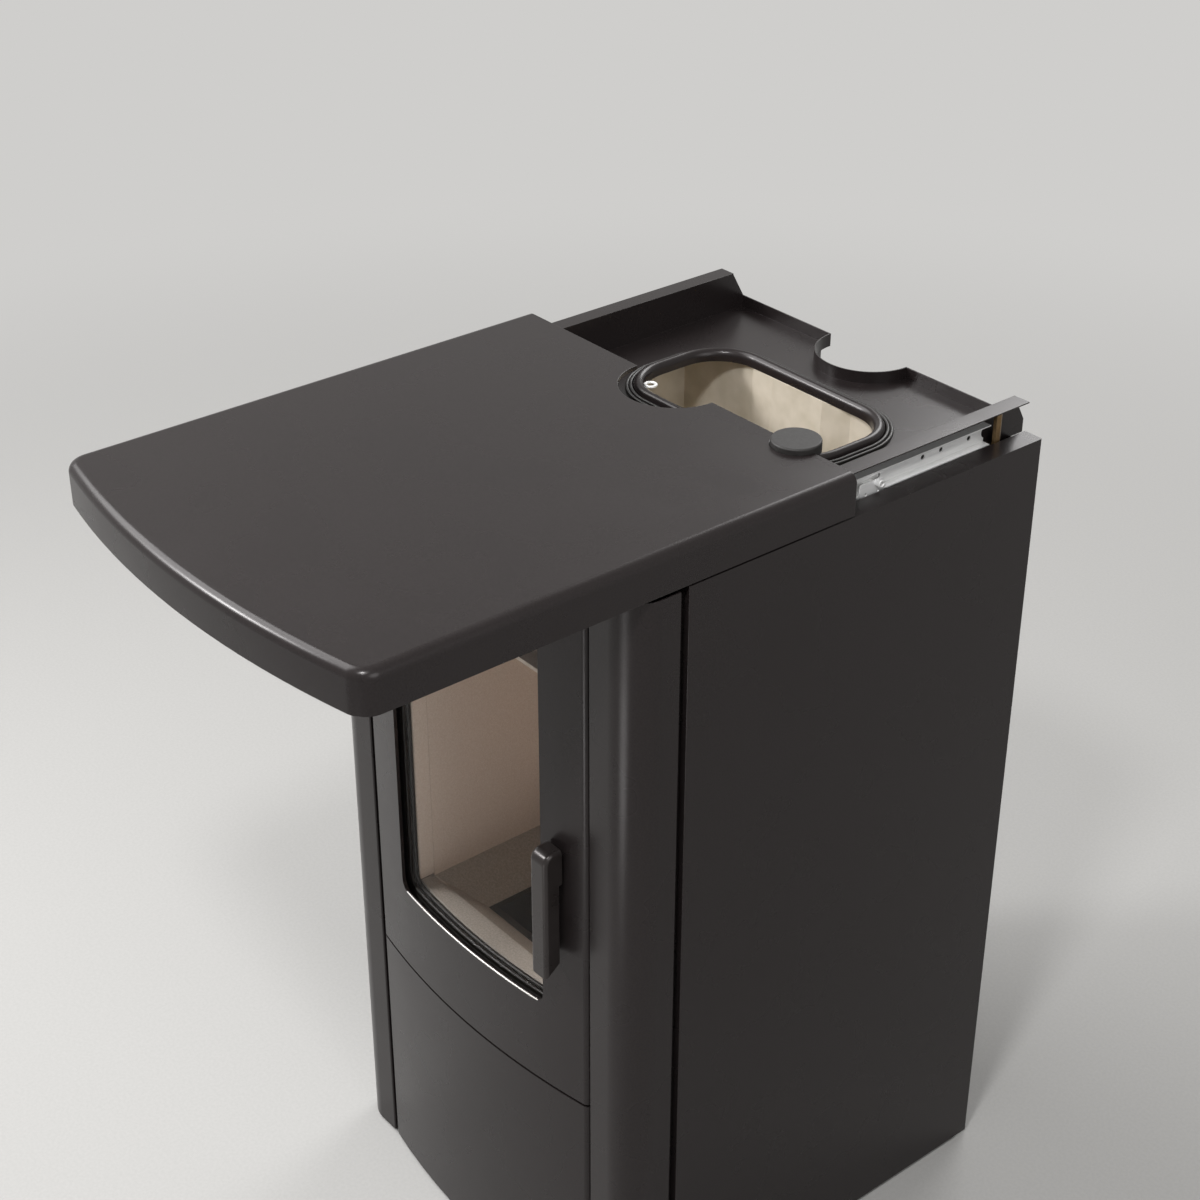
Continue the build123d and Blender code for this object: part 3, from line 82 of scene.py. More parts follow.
# %% [markdown]
# Every colour below is written as the hex value that a paint chart shows. Blender calculates
# with linear light, so one function turns the written value into that. A second small function
# adds a shader node, sets its sockets and wires it up in one go.

# %% Helpers for materials
def hex_colour(code):
    """A written sRGB colour as linear red, green, blue and alpha."""
    channels = [int(code[i:i + 2], 16) / 255 for i in (1, 3, 5)]
    linear = [c / 12.92 if c <= 0.04045 else ((c + 0.055) / 1.055) ** 2.4 for c in channels]
    return (*linear, 1.0)


def node(tree, kind, links=None, **settings):
    """Add a node; settings name properties or sockets, links name sockets to wire."""
    made = tree.nodes.new(kind)
    for name, value in settings.items():
        if hasattr(made, name):
            setattr(made, name, value)
        else:
            made.inputs[name.replace("_", " ")].default_value = value
    for socket, source in (links or {}).items():
        tree.links.new(source, made.inputs[socket])
    return made


def start_material(name, colour, roughness, metallic=0.0):
    """A material with one Principled shader; returns material, tree, shader and coordinates."""
    material = bpy.data.materials.new(name)
    material.use_nodes = True
    tree = material.node_tree
    shader = tree.nodes["Principled BSDF"]
    shader.inputs["Base Color"].default_value = hex_colour(colour)
    shader.inputs["Roughness"].default_value = roughness
    shader.inputs["Metallic"].default_value = metallic
    place = tree.nodes.new("ShaderNodeTexCoord").outputs["Object"]
    return material, tree, shader, place


print("middle grey in linear light:", round(hex_colour("#808080")[0], 3))


# %% [markdown]
# No real surface has one flat tone. A noise in the object's own coordinates breaks each finish
# up, in colour, gloss or relief. Most of a noise's values lie near its middle, so the two tones
# and the two roughness values are set to a narrow span round it, or they would hardly show.

# %% Mottling
tone_span = (0.35, 0.65)
gloss_span = (0.3, 0.7)


def mottle(tree, shader, place, size, colours=None, roughness=None, bump=0.0, depth=0.1 * mm,
           detail=3.0, stretch=(1, 1, 1)):
    """Break a surface up with noise whose blotches are size metres across."""
    spot = node(tree, "ShaderNodeMapping", {"Vector": place}, Scale=stretch)
    noise = node(tree, "ShaderNodeTexNoise", {"Vector": spot.outputs["Vector"]}, Scale=1 / size,
                 Detail=detail)
    if colours:
        ramp = node(tree, "ShaderNodeValToRGB", {"Fac": noise.outputs["Fac"]})
        for stop, position, colour in zip(ramp.color_ramp.elements, tone_span, colours):
            stop.position = position
            stop.color = hex_colour(colour)
        tree.links.new(ramp.outputs["Color"], shader.inputs["Base Color"])
    if roughness:
        span = node(tree, "ShaderNodeMapRange", {"Value": noise.outputs["Fac"]},
                    From_Min=gloss_span[0], From_Max=gloss_span[1],
                    To_Min=roughness[0], To_Max=roughness[1])
        tree.links.new(span.outputs["Result"], shader.inputs["Roughness"])
    if bump:
        dent = node(tree, "ShaderNodeBump", {"Height": noise.outputs["Fac"]}, Strength=bump,
                    Distance=depth)
        tree.links.new(dent.outputs["Normal"], shader.inputs["Normal"])


print("tones between noise values", tone_span)


# %% [markdown]
# The casing is sheet steel with a dark metallic stoving paint. The paint is satin: it shows
# broad soft highlights along the rounded edges and no sharp reflections. Its grain is finer
# than the picture can show, so it is drawn about two millimetres across. A second, slower
# noise makes the gloss drift a little over a hand's width, as sprayed paint does.

# %% Casing paint
def make_casing_paint():
    material, tree, shader, place = start_material("satin anthracite stoving paint", "#262121",
                                                   roughness=0.28, metallic=0.2)
    mottle(tree, shader, place, size=1.8 * mm, colours=("#231e1e", "#292424"), bump=0.1,
           depth=0.05 * mm)
    mottle(tree, shader, place, size=90 * mm, roughness=(0.25, 0.31))
    shader.inputs["Specular IOR Level"].default_value = 0.34
    return material


casing_paint = make_casing_paint()
print(casing_paint.name)


# %% [markdown]
# Parts that get hot wear a matt black heat-proof paint. It is dull and slightly uneven, so it
# takes light softly and its hollows stay dark.

# %% Heat-proof black
def make_stove_black():
    material, tree, shader, place = start_material("matt heat-proof black paint", "#171615",
                                                   roughness=0.72)
    mottle(tree, shader, place, size=4 * mm, colours=("#141312", "#1d1b1a"),
           roughness=(0.62, 0.8), bump=0.2, depth=0.1 * mm)
    return material


stove_black = make_stove_black()
print(stove_black.name)


# %% [markdown]
# The drawer slides and brackets are cold-rolled steel with bright zinc plating. Fresh plating is
# finely crystalline: it scatters about as much light as it mirrors. So the shader is pale and
# only a third metallic, and long faint streaks along the rolling direction give it its grain.

# %% Zinc-plated steel
def make_zinc():
    material, tree, shader, place = start_material("bright zinc-plated steel", "#f4f4f4",
                                                   roughness=0.36, metallic=0.35)
    along_the_slide = (1, 0.06, 1)
    mottle(tree, shader, place, size=3 * mm, colours=("#f0f0f0", "#f8f8f7"),
           roughness=(0.32, 0.42), bump=0.06, depth=0.03 * mm, stretch=along_the_slide)
    return material


zinc = make_zinc()
print(zinc.name)


# %% [markdown]
# The hopper is folded from galvanised sheet with a clear passivation, which use has dulled. So
# it scatters light more than it mirrors it. Broad cloudy patches vary its roughness, and its
# tone is warm, as fine wood dust makes it.

# %% Hopper sheet
def make_hopper_sheet():
    material, tree, shader, place = start_material("dulled galvanised sheet", "#cfc5b4",
                                                   roughness=0.42, metallic=0.15)
    mottle(tree, shader, place, size=24 * mm, colours=("#c9bfad", "#d6ccbc"),
           roughness=(0.36, 0.5), bump=0.04, depth=0.1 * mm, detail=2.0)
    return material


hopper_sheet = make_hopper_sheet()
print(hopper_sheet.name)


# %% [markdown]
# Vermiculite board lines the firebox. It is pressed from mica flakes, so it is cream with darker
# and paler flecks about two millimetres across and a faintly pitted face. Its cream is painted
# lighter than the board's own: painted light that stands in for the glow of a fire.

# %% Vermiculite
def make_board(name, colour, flecks):
    """Pressed vermiculite: a dull face with flecks in two close tones."""
    material, tree, shader, place = start_material(name, colour, roughness=0.85)
    mottle(tree, shader, place, size=2.2 * mm, colours=flecks, roughness=(0.78, 0.92),
           bump=0.06, depth=0.1 * mm, detail=4.0)
    return material


# The wall board's cream is written lighter than the board is, as painted light for a fire.
vermiculite = make_board("pressed vermiculite board", "#eddccd", ("#e8d6c6", "#f2e3d6"))
print(vermiculite.name)


# %% [markdown]
# The boards at the foot of the firebox are the same vermiculite, but use greys them sooner than
# the walls. They keep the grain and take a darker, cooler tone, so that the walls stand out.

# %% Hearth board
hearth_board = make_board("ash-greyed vermiculite board", "#a89f96", ("#a0978d", "#b2a99f"))
print(hearth_board.name)


# %% [markdown]
# The burn pot is grey cast iron. Sand casting leaves a pebbled skin, and heat turns it from
# grey to a brownish black.

# %% Cast iron
def make_cast_iron():
    material, tree, shader, place = start_material("sand-cast grey iron", "#2b2825",
                                                   roughness=0.68, metallic=0.45)
    mottle(tree, shader, place, size=2.2 * mm, colours=("#221f1d", "#38332e"),
           roughness=(0.6, 0.8), bump=0.6, depth=0.3 * mm, detail=4.0)
    return material


cast_iron = make_cast_iron()
print(cast_iron.name)


# %% [markdown]
# The window is glass ceramic: clear, with a faint amber tone and a polished face. Alpha lets
# the light through without bending it, which suits a thin pane: the firebox behind it gets its
# daylight, and the shader still adds the sheen of the surface.

# %% Glass ceramic
def make_glass():
    material, _, shader, _ = start_material("clear glass ceramic", "#1c1612", roughness=0.03)
    shader.inputs["Alpha"].default_value = 0.1
    shader.inputs["IOR"].default_value = 1.54
    return material


glass_ceramic = make_glass()
print(glass_ceramic.name)


# %% [markdown]
# Glass-fibre rope seals the door and beds the pane. It is dyed black, its fibres are too fine
# to show, and its strands are real geometry further down, so the material only roughens it.

# %% Braided rope
def make_rope():
    material, tree, shader, place = start_material("black braided glass-fibre rope", "#201e1c",
                                                   roughness=0.85)
    mottle(tree, shader, place, size=1.2 * mm, colours=("#1a1817", "#2b2825"),
           roughness=(0.8, 0.95), bump=0.7, depth=0.2 * mm)
    return material


rope = make_rope()
print(rope.name)


# %% [markdown]
# The small finishes only need two close tones and a little unevenness: the silicone hopper
# seal, the yellow-passivated stand-off posts, the plastic knob and mains inlet, the motors'
# cans, the circuit board and the screws. The handle's paint and the anodised glazing bead are
# smooth to the hand, so these two have no relief and their tones drift slowly.

# %% Small finishes
def make_plain(name, colours, roughness, metallic=0.0, size=3 * mm, bump=0.1):
    """A finish with two close tones, a roughness that varies a little and a fine relief."""
    material, tree, shader, place = start_material(name, colours[0], roughness, metallic)
    mottle(tree, shader, place, size, colours, (roughness - 0.05, roughness + 0.06), bump,
           0.05 * mm)
    return material


seal_rubber = make_plain("black silicone rubber", ("#161412", "#1e1b19"), 0.42)
post_brass = make_plain("yellow-passivated steel", ("#6f5a3e", "#7e684a"), 0.42, 0.8)
knob_plastic = make_plain("black moulded phenolic", ("#1c1a19", "#22201f"), 0.55)
motor_paint = make_plain("grey enamelled motor can", ("#55585a", "#5f6264"), 0.45, 0.3)
# The sill bead's pale steel tone is a painted highlight on the door's rounded window edge.
sill_highlight_paint = make_plain("ground steel edge", ("#b0adaa", "#b8b5b2"), 0.3, 0.7)
glazing_black = make_plain("black anodised profile", ("#1d1a18", "#211e1c"), 0.42, 0.3,
                           size=12 * mm, bump=0)
black_plastic = make_plain("black moulded polyamide", ("#161616", "#1d1d1d"), 0.48)
board_green = make_plain("green solder-masked laminate", ("#14502c", "#1b5f36"), 0.4)
handle_paint = make_plain("smooth satin anthracite paint", ("#2c2726", "#302b2a"), 0.3, 0.4,
                          size=25 * mm, bump=0)
screw_black = make_plain("blackened steel", ("#1c1b1a", "#262423"), 0.45, 0.8)
print("materials:", len(bpy.data.materials))

# %% [markdown]
# Each frame node belongs to a material slot in the record. The same slots pick the finish
# here, so a node never goes without one. The front posts show at the bottom of the groove
# beside each side panel, so they are painted with the casing.

# %% A finish for every slot
finish_of_slot = {
    "casing_paint": casing_paint,
    "stove_black": stove_black,
    "zinc_steel": zinc,
    "hopper_sheet": hopper_sheet,
    "lining": vermiculite,
    "cast_iron": cast_iron,
    "ceramic_glass": glass_ceramic,
    "glass_rope": rope,
    "seal_rubber": seal_rubber,
    "post_brass": post_brass,
    "handle_metal": handle_paint,
    "knob_plastic": knob_plastic,
    "motor_paint": motor_paint,
    "black_plastic": black_plastic,
    "circuit_board": board_green,
}
slot_of_node = {s["node"]: s["material_slot"] for s in frame["record"]["subparts"]}
body_of_node = {name: body for body, members in frame["record"]["behaviour"]["bodies"].items()
                for name in members}
for name, part in nodes.items():
    part.data.materials.clear()
    part.data.materials.append(finish_of_slot[slot_of_node[name]])
nodes["front_posts"].data.materials[0] = casing_paint
print("nodes with a finish:", len(nodes))


# %% [markdown]
# Every piece made below goes through the same few steps: a mesh becomes an object, its
# modifiers are baked into the mesh, its faces are shaded, and at the end it gets its finish,
# the body that it moves with, and the frame nodes that it stands for.

# %% Helpers for pieces
def link_piece(mesh, piece_name):
    """A new object that shows the mesh."""
    piece = bpy.data.objects.new(piece_name, mesh)
    bpy.context.scene.collection.objects.link(piece)
    return piece


def piece_from(work, piece_name):
    """A new object from an edited mesh, which is let go."""
    mesh = bpy.data.meshes.new(piece_name)
    work.to_mesh(mesh)
    work.free()
    return link_piece(mesh, piece_name)


def bake_modifiers(piece):
    """Turn the piece with its modifiers into a plain mesh."""
    bpy.context.view_layer.update()
    seen = piece.evaluated_get(bpy.context.evaluated_depsgraph_get())
    mesh = bpy.data.meshes.new_from_object(seen)
    piece.modifiers.clear()
    piece.data = mesh
    mesh.name = piece.name
    return piece


def shade(piece, smooth_within=40.0):
    """Smooth the edges that turn by less than that many degrees; keep large faces flat."""
    piece.data.shade_smooth()
    piece.data.set_sharp_from_angle(angle=radians(smooth_within))
    even = piece.modifiers.new("even", "WEIGHTED_NORMAL")
    even.keep_sharp = True
    return bake_modifiers(piece)


def settle(piece, body, material, slot, *replaced):
    """Give a finished piece its material, body and the nodes that it stands for; the slot is not
    used.
    """
    piece.data.materials.clear()
    piece.data.materials.append(material)
    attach(piece, body)
    if replaced:
        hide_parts(*replaced)
    return piece


# %% [markdown]
# Folded and pressed sheet never has a knife edge: the metal rounds over by about its own
# thickness, and that is where a casing catches the light. The frame's meshes have sharp edges,
# so a copy of each outer piece gets its triangles merged into clean faces and a small bevel.
# Weighted normals then keep the large faces flat, so that only the bevels look round.

# %% Softened copies of the frame's pieces
weld_within = 0.001 * mm
flat_within = 0.2
bevel_from = 35
bevel_steps = 2


def clean_copy(node_name, piece_name):
    """The node's mesh as clean flat faces, in a new object."""
    work = bmesh.new()
    work.from_mesh(nodes[node_name].data)
    bmesh.ops.remove_doubles(work, verts=work.verts, dist=weld_within)
    bmesh.ops.dissolve_limit(work, angle_limit=radians(flat_within), verts=work.verts,
                             edges=work.edges)
    piece = piece_from(work, piece_name)
    if "custom_normal" in piece.data.attributes:
        piece.data.attributes.remove(piece.data.attributes["custom_normal"])
    return piece


def soften(node_name, piece_name, bevel, change=None, smooth_within=40.0):
    """Stand a bevelled copy in for a node, after an optional change to its points."""
    piece = clean_copy(node_name, piece_name)
    if change:
        change(piece)
    edge = piece.modifiers.new("edge", "BEVEL")
    edge.width = bevel
    edge.segments = bevel_steps
    edge.limit_method = "ANGLE"
    edge.angle_limit = radians(bevel_from)
    bake_modifiers(piece)
    shade(piece, smooth_within)
    slot = slot_of_node[node_name]
    return settle(piece, body_of_node[node_name], finish_of_slot[slot], slot, node_name)


print("edges that turn by more than", bevel_from, "degrees get a bevel")


# %% [markdown]
# The hopper's rear wall bulges forward to make room for the flue. On the real stove its top
# edge lies tight under the bead of the mouth, so the points of that edge lean back to it. The
# hopper's walls also meet at such flat angles that only a very small smoothing angle keeps the
# folds between them crisp.

# %% The hopper's own changes
bulge_top_low, bulge_top_high = 915 * mm, 922.4 * mm
bulge_front, bulge_back = 131.5 * mm, 134 * mm
bulge_lean = 13.3 * mm


def lean_back(piece):
    """Lean the hopper's rear bulge back, so that its top edge meets the mouth's rear edge."""
    for vert in piece.data.vertices:
        at_the_top = bulge_top_low < vert.co.z < bulge_top_high
        if at_the_top and bulge_front < vert.co.y < bulge_back:
            vert.co.y += bulge_lean


special = {"hopper": {"change": lean_back, "smooth_within": 4.0}}
print("pieces with changes of their own:", *special)

# %% [markdown]
# Thick pressed sheet gets a large rounding and thin folded sheet a small one. Board and cast
# iron have only their arrises taken off. The widths are typical of such edges.

# %% Which pieces are softened, and how far
softened = {
    "lid": ("lid_shell", 0.9 * mm),
    "door_skin": ("fire_door_shell", 1.4 * mm),
    "lower_door": ("lower_door_shell", 1.0 * mm),
    "column_left": ("left_column", 0.6 * mm),
    "column_right": ("right_column", 0.6 * mm),
    "side_panel_left": ("left_side_panel", 0.6 * mm),
    "side_panel_right": ("right_side_panel", 0.6 * mm),
    "top_pan": ("top_pan_sheet", 0.4 * mm),
    "back_panel": ("back_panel_sheet", 0.35 * mm),
    "hopper": ("hopper_funnel", 0.4 * mm),
    "door_handle": ("handle_grip", 0.8 * mm),
    "door_inner_frame": ("glass_frame", 0.5 * mm),
    "hearth": ("hearth_plates", 0.8 * mm),
    "lining_left": ("left_lining", 0.8 * mm),
    "lining_right": ("right_lining", 0.8 * mm),
    "lining_back": ("back_lining", 0.8 * mm),
    "baffle": ("baffle_plate", 0.8 * mm),
    "burn_pot": ("burn_pot_casting", 0.8 * mm),
    "slide_fixed_right": ("right_slide_outer_member", 0.3 * mm),
    "slide_fixed_left": ("left_slide_outer_member", 0.3 * mm),
    "slide_middle_right": ("right_slide_middle_member", 0.3 * mm),
    "slide_middle_left": ("left_slide_middle_member", 0.3 * mm),
}
for node_name, (piece_name, bevel) in softened.items():
    piece = soften(node_name, piece_name, bevel, **special.get(node_name, {}))
    print(piece_name, len(piece.data.polygons))
bpy.data.objects["hearth_plates"].data.materials[0] = hearth_board


# %% [markdown]
# Several pieces run round a rounded oblong: the bead and the seal round the hopper's mouth,
# the glazing bead behind the window and the rope in the door. They share one tool, which
# carries a profile round a closed path. Each path point knows its place and which way is out,
# so the profile can be given in two plain numbers: how far out, and how far up.

# %% A profile carried round a path
def rounded_oblong(length, height, corner, steps=12):
    """Points and outward directions of a rounded oblong round the origin, anticlockwise."""
    path = []
    for quarter, (side_x, side_y) in enumerate(((1, 1), (-1, 1), (-1, -1), (1, -1))):
        middle_x, middle_y = side_x * (length / 2 - corner), side_y * (height / 2 - corner)
        for i in range(steps + 1):
            a = (quarter + i / steps) * pi / 2
            path.append((middle_x + corner * cos(a), middle_y + corner * sin(a),
                         cos(a), sin(a)))
    return path


def fill_in(path, longest):
    """Add points where two neighbours are further apart than longest."""
    filled = []
    for here, there in zip(path, path[1:] + path[:1]):
        gap = sqrt((there[0] - here[0]) ** 2 + (there[1] - here[1]) ** 2)
        parts = max(1, round(gap / longest))
        for i in range(parts):
            filled.append(tuple(a + (b - a) * i / parts for a, b in zip(here, there)))
    return filled


def arc(middle_x, middle_y, radius_x, radius_y, start, end, steps):
    """Points on part of an ellipse, angles in degrees."""
    angles = [radians(start + (end - start) * i / steps) for i in range(steps + 1)]
    return [(middle_x + radius_x * cos(a), middle_y + radius_y * sin(a)) for a in angles]


def skin(piece_name, rings, looped=True):
    """A skin through rings of points; the last joins the first, or both ends get a cap."""
    work = bmesh.new()
    rows = [[work.verts.new(point) for point in ring] for ring in rings]
    next_rows = rows[1:] + rows[:1] if looped else rows[1:]
    for row, following in zip(rows, next_rows):
        for i, vert in enumerate(row):
            j = (i + 1) % len(row)
            work.faces.new((vert, following[i], following[j], row[j]))
    if not looped:
        work.faces.new(rows[0])
        work.faces.new(rows[-1][::-1])
    bmesh.ops.recalc_face_normals(work, faces=work.faces)
    return piece_from(work, piece_name)


print("points of an oblong:", len(rounded_oblong(2.0, 1.0, 0.2)))


# %% [markdown]
# The hopper's mouth has a rolled bead: sheet turned over into a fat half round, with a satin
# paint that carries one long soft highlight. It stands on a low straight foot, and its inner
# side reaches down as the throat of the mouth.

# %% Bead round the mouth
mouth_middle = (0.0, 77 * mm)
mouth_length, mouth_depth, mouth_corner = 260 * mm, 138 * mm, 50 * mm
mouth_steps = 14
deck_level = 925 * mm
throat_foot = 922 * mm
throat_wall = 1 * mm
bead_width, bead_height = 13 * mm, 10 * mm
bead_foot = 1 * mm


def round_the_mouth(piece_name, profile):
    """Carry a profile of (outwards, height) round the hopper's mouth."""
    rings = []
    oblong = rounded_oblong(mouth_length, mouth_depth, mouth_corner, mouth_steps)
    for x, y, out_x, out_y in oblong:
        rings.append([(mouth_middle[0] + x + out * out_x, mouth_middle[1] + y + out * out_y, z)
                      for out, z in profile])
    return skin(piece_name, rings)


def make_bead():
    waist = bead_width / 2
    hump = arc(waist, deck_level + bead_foot, waist, bead_height - bead_foot, start=180, end=0,
               steps=14)
    profile = [(0, throat_foot), *hump, (bead_width, deck_level), (throat_wall, deck_level),
               (throat_wall, throat_foot)]
    piece = shade(round_the_mouth("mouth_bead", profile), smooth_within=50)
    return settle(piece, "casing", casing_paint, "casing_paint", "hopper_rim")


print("bead faces:", len(make_bead().data.polygons))


# %% [markdown]
# Outside the bead lies the silicone seal that the lid presses on. It has two thin lips, the
# outer one lower than the inner one, with a shallow valley between them.

# %% Seal round the mouth
seal_gap = 0.3 * mm
lip_count = 2
lip_pitch = 4 * mm
lip_half, lip_round = 1.8 * mm, 1.6 * mm
lip_top, lip_drop = 5 * mm, 1.2 * mm
valley_level = 1.2 * mm


def make_seal():
    start = bead_width + seal_gap
    profile = [(start, deck_level)]
    for lip in range(lip_count):
        middle = start + (lip + 0.5) * lip_pitch
        top = deck_level + lip_top - lip * lip_drop
        profile += arc(middle, top - lip_round, lip_half, lip_round, start=180, end=0, steps=6)
        profile.append((middle + lip_pitch / 2, deck_level + valley_level))
    profile[-1] = (start + lip_count * lip_pitch, deck_level)
    piece = shade(round_the_mouth("mouth_seal", profile), smooth_within=60)
    return settle(piece, "casing", seal_rubber, "seal_rubber", "hopper_seal")


print("seal faces:", len(make_seal().data.polygons))


# %% [markdown]
# A bright steel ring in the corner of the mouth takes the hook of the hopper's grille. It is a
# torus, made as the others are: a round profile carried round a round path.

# %% Ring in the mouth's corner
ring_middle = Vector((-111.3 * mm, 26.7 * mm, 926 * mm))
ring_radius = 5.9 * mm
ring_steps = 28
wire_radius = 1.7 * mm
wire_sides = 12


def make_ring():
    wire = arc(0, 0, wire_radius, wire_radius, start=0, end=360 - 360 / wire_sides,
               steps=wire_sides - 1)
    rings = []
    for step in range(ring_steps):
        turn = 2 * pi * step / ring_steps
        way = Vector((cos(turn), sin(turn), 0))
        rings.append([ring_middle + way * (ring_radius + out) + Vector((0, 0, up))
                      for out, up in wire])
    piece = shade(skin("grille_ring", rings), smooth_within=60)
    return settle(piece, "casing", zinc, "zinc_steel")


print("ring faces:", len(make_ring().data.polygons))


# %% [markdown]
# Behind the pane a black profile with two round ribs holds the glass all round. From above its
# ribs show along the window's lower edge as fine parallel lines that follow the bow of the
# door. The rear rib stands a little further into the opening than the front one.

# %% Glazing bead behind the window
window_half, window_corner = 125 * mm, 14 * mm
window_low, window_high = 413 * mm, 868 * mm
window_middle = (window_low + window_high) / 2
door_radius, door_middle_y = 910.158 * mm, 590.158 * mm
glass_back = 11 * mm
glazing_gap = 0.4 * mm
glazing_outside = 5.6 * mm
rib_count = 2
rib_pitch = 5.4 * mm
rib_round = 2.7 * mm
rib_reach, rib_step = 0.4 * mm, 1.6 * mm
rib_angles = (-88, -60, -30, 0, 30, 60, 82)


def front_at(x):
    """How far forward the doors' bowed front lies at x."""
    return door_middle_y - sqrt(door_radius ** 2 - x ** 2)


def glazing_profile():
    """The bead's section as (outwards, depth behind the door's front)."""
    start = glass_back + glazing_gap
    profile = [(glazing_outside, start)]
    for rib in range(rib_count):
        depth = start + (rib + 0.5) * rib_pitch
        inset = -(rib_reach + rib * rib_step)
        profile += [(inset + rib_round * (1 - cos(radians(a))),
                     depth + rib_round * sin(radians(a))) for a in rib_angles]
    profile.append((glazing_outside, start + rib_count * rib_pitch))
    return profile


def make_glazing_bead():
    profile = glazing_profile()
    oblong = rounded_oblong(2 * window_half, window_high - window_low, window_corner, steps=8)
    rings = []
    for x, z, out_x, out_z in fill_in(oblong, longest=12 * mm):
        ring = []
        for out, depth in profile:
            bead_x = x + out * out_x
            ring.append((bead_x, front_at(bead_x) + depth, window_middle + z + out * out_z))
        rings.append(ring)
    piece = shade(skin("glazing_bead", rings), smooth_within=50)
    return settle(piece, "door", glazing_black, "stove_black")


print("glazing bead faces:", len(make_glazing_bead().data.polygons))


# %% [markdown]
# Two pale boards, the cheeks, carry the side linings forward to the glazing bead. A third one,
# the apron, reaches from the firebox towards the pane, and its front edge keeps the bow of the
# door, so that what drops there stays in the firebox. All three have a softened front arris.

# %% Cheeks and apron
board_gap = 23.2 * mm
board_rounding = 1.2 * mm
apron_half = 124 * mm
apron_low, apron_high = 408.6 * mm, 413.6 * mm
apron_back = -275.2 * mm
cheek_inner, cheek_outer = 124.8 * mm, 128.6 * mm
cheek_back = -269.3 * mm
cheek_low, cheek_high = apron_high + 0.2 * mm, window_high - 2 * mm
columns_across = 40


def across(half):
    """Places from one side of the window to the other."""
    return [half * (2 * i / columns_across - 1) for i in range(columns_across + 1)]


def make_cheek(name, side):
    """A pale board that carries the side lining forward to the glazing bead."""
    inner, outer = side * cheek_inner, side * cheek_outer
    front = front_at(inner) + board_gap
    nose = inner + side * board_rounding
    rings = [[(inner, cheek_back, z), (inner, front + board_rounding, z), (nose, front, z),
              (outer, front, z), (outer, cheek_back, z)] for z in (cheek_low, cheek_high)]
    piece = shade(skin(name, rings, looped=False), smooth_within=30)
    return settle(piece, "casing", vermiculite, "lining")


def make_apron():
    rings = []
    for x in across(apron_half):
        front = front_at(x) + board_gap
        rings.append([(x, apron_back, apron_low), (x, apron_back, apron_high),
                      (x, front + board_rounding, apron_high),
                      (x, front, apron_high - board_rounding), (x, front, apron_low)])
    piece = shade(skin("hearth_apron", rings, looped=False), smooth_within=30)
    return settle(piece, "casing", hearth_board, "lining")


make_cheek("left_cheek_board", -1)
make_cheek("right_cheek_board", 1)
print("apron faces:", len(make_apron().data.polygons))


# %% [markdown]
# Below the window the door's skin ends in a narrow rounded edge, a thin bead that follows the bow
# of the door. Its pale steel tone is a painted highlight for the light that this edge catches.

# %% Sill edge with a painted highlight
sill_half = 122 * mm
sill_radius = 1.3 * mm


def make_sill_highlight():
    section = arc(0, 0, sill_radius, sill_radius, start=-60, end=240, steps=10)
    rings = []
    for x in across(sill_half):
        y = front_at(x) + sill_radius
        rings.append([(x, y + depth, window_low + up) for depth, up in section])
    piece = shade(skin("window_sill_edge", rings, looped=False), smooth_within=60)
    return settle(piece, "door", sill_highlight_paint, "zinc_steel")


print("sill faces:", len(make_sill_highlight().data.polygons))


# %% [markdown]
# The rope seal in the door's back is braided: strands cross over each other all along it. The
# profile is a circle whose radius swells where a strand passes, and the swelling winds on from
# ring to ring in both directions, which gives the crossing pattern.

# %% Braided rope in the door
rope_front, rope_back = (corner[1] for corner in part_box("door_rope_seal"))
rope_middle, rope_half = (rope_front + rope_back) / 2, (rope_back - rope_front) / 2
rope_out = 11 * mm
rope_radius = 3.7 * mm
rope_sides = 14
strand_count = 4
strand_pitch = 9 * mm
rope_core, strand_swell = 0.88, 0.06


def braid_at(a, run):
    """The braid's swelling at one angle of the section, after a run along the rope."""
    wind = 2 * pi * run / strand_pitch
    swell = abs(cos(strand_count / 2 * a + wind)) + abs(cos(strand_count / 2 * a - wind))
    return rope_core + strand_swell * swell


def make_rope_seal():
    oblong = rounded_oblong(2 * (window_half + rope_out), window_high - window_low + 2 * rope_out,
                            window_corner + rope_out, steps=12)
    rings, run, last = [], 0.0, None
    for x, z, out_x, out_z in fill_in(oblong, longest=1.5 * mm):
        run += 0.0 if last is None else sqrt((x - last[0]) ** 2 + (z - last[1]) ** 2)
        last = (x, z)
        ring = []
        for step in range(rope_sides):
            a = 2 * pi * step / rope_sides
            swelling = braid_at(a, run)
            out, depth = rope_radius * swelling * cos(a), rope_half * swelling * sin(a)
            ring.append((x + out * out_x, rope_middle + depth, window_middle + z + out * out_z))
        rings.append(ring)
    piece = skin("braided_door_rope", rings)
    piece.data.shade_smooth()
    return settle(piece, "door", rope, "glass_rope", "door_rope_seal")


print("rope faces:", len(make_rope_seal().data.polygons))


# %% [markdown]
# A pan-head screw is turned: a flat underside, a rounded crown and a shank. So its body is an
# outline carried round its axis, and two crossed bars are cut out of the crown as the recess.
# The crown and the recess are given as shares of the head's radius and height, so that one
# description fits every size of screw.

# %% One screw
screw_sides = 20
crown_shares = ((1.0, 0.35), (0.86, 0.8), (0.62, 1.0))
tip_share, tip_length = 0.5, 0.8 * mm
recess_reach, recess_width, recess_depth = 0.56, 0.13, 0.6
crisp_from = 45


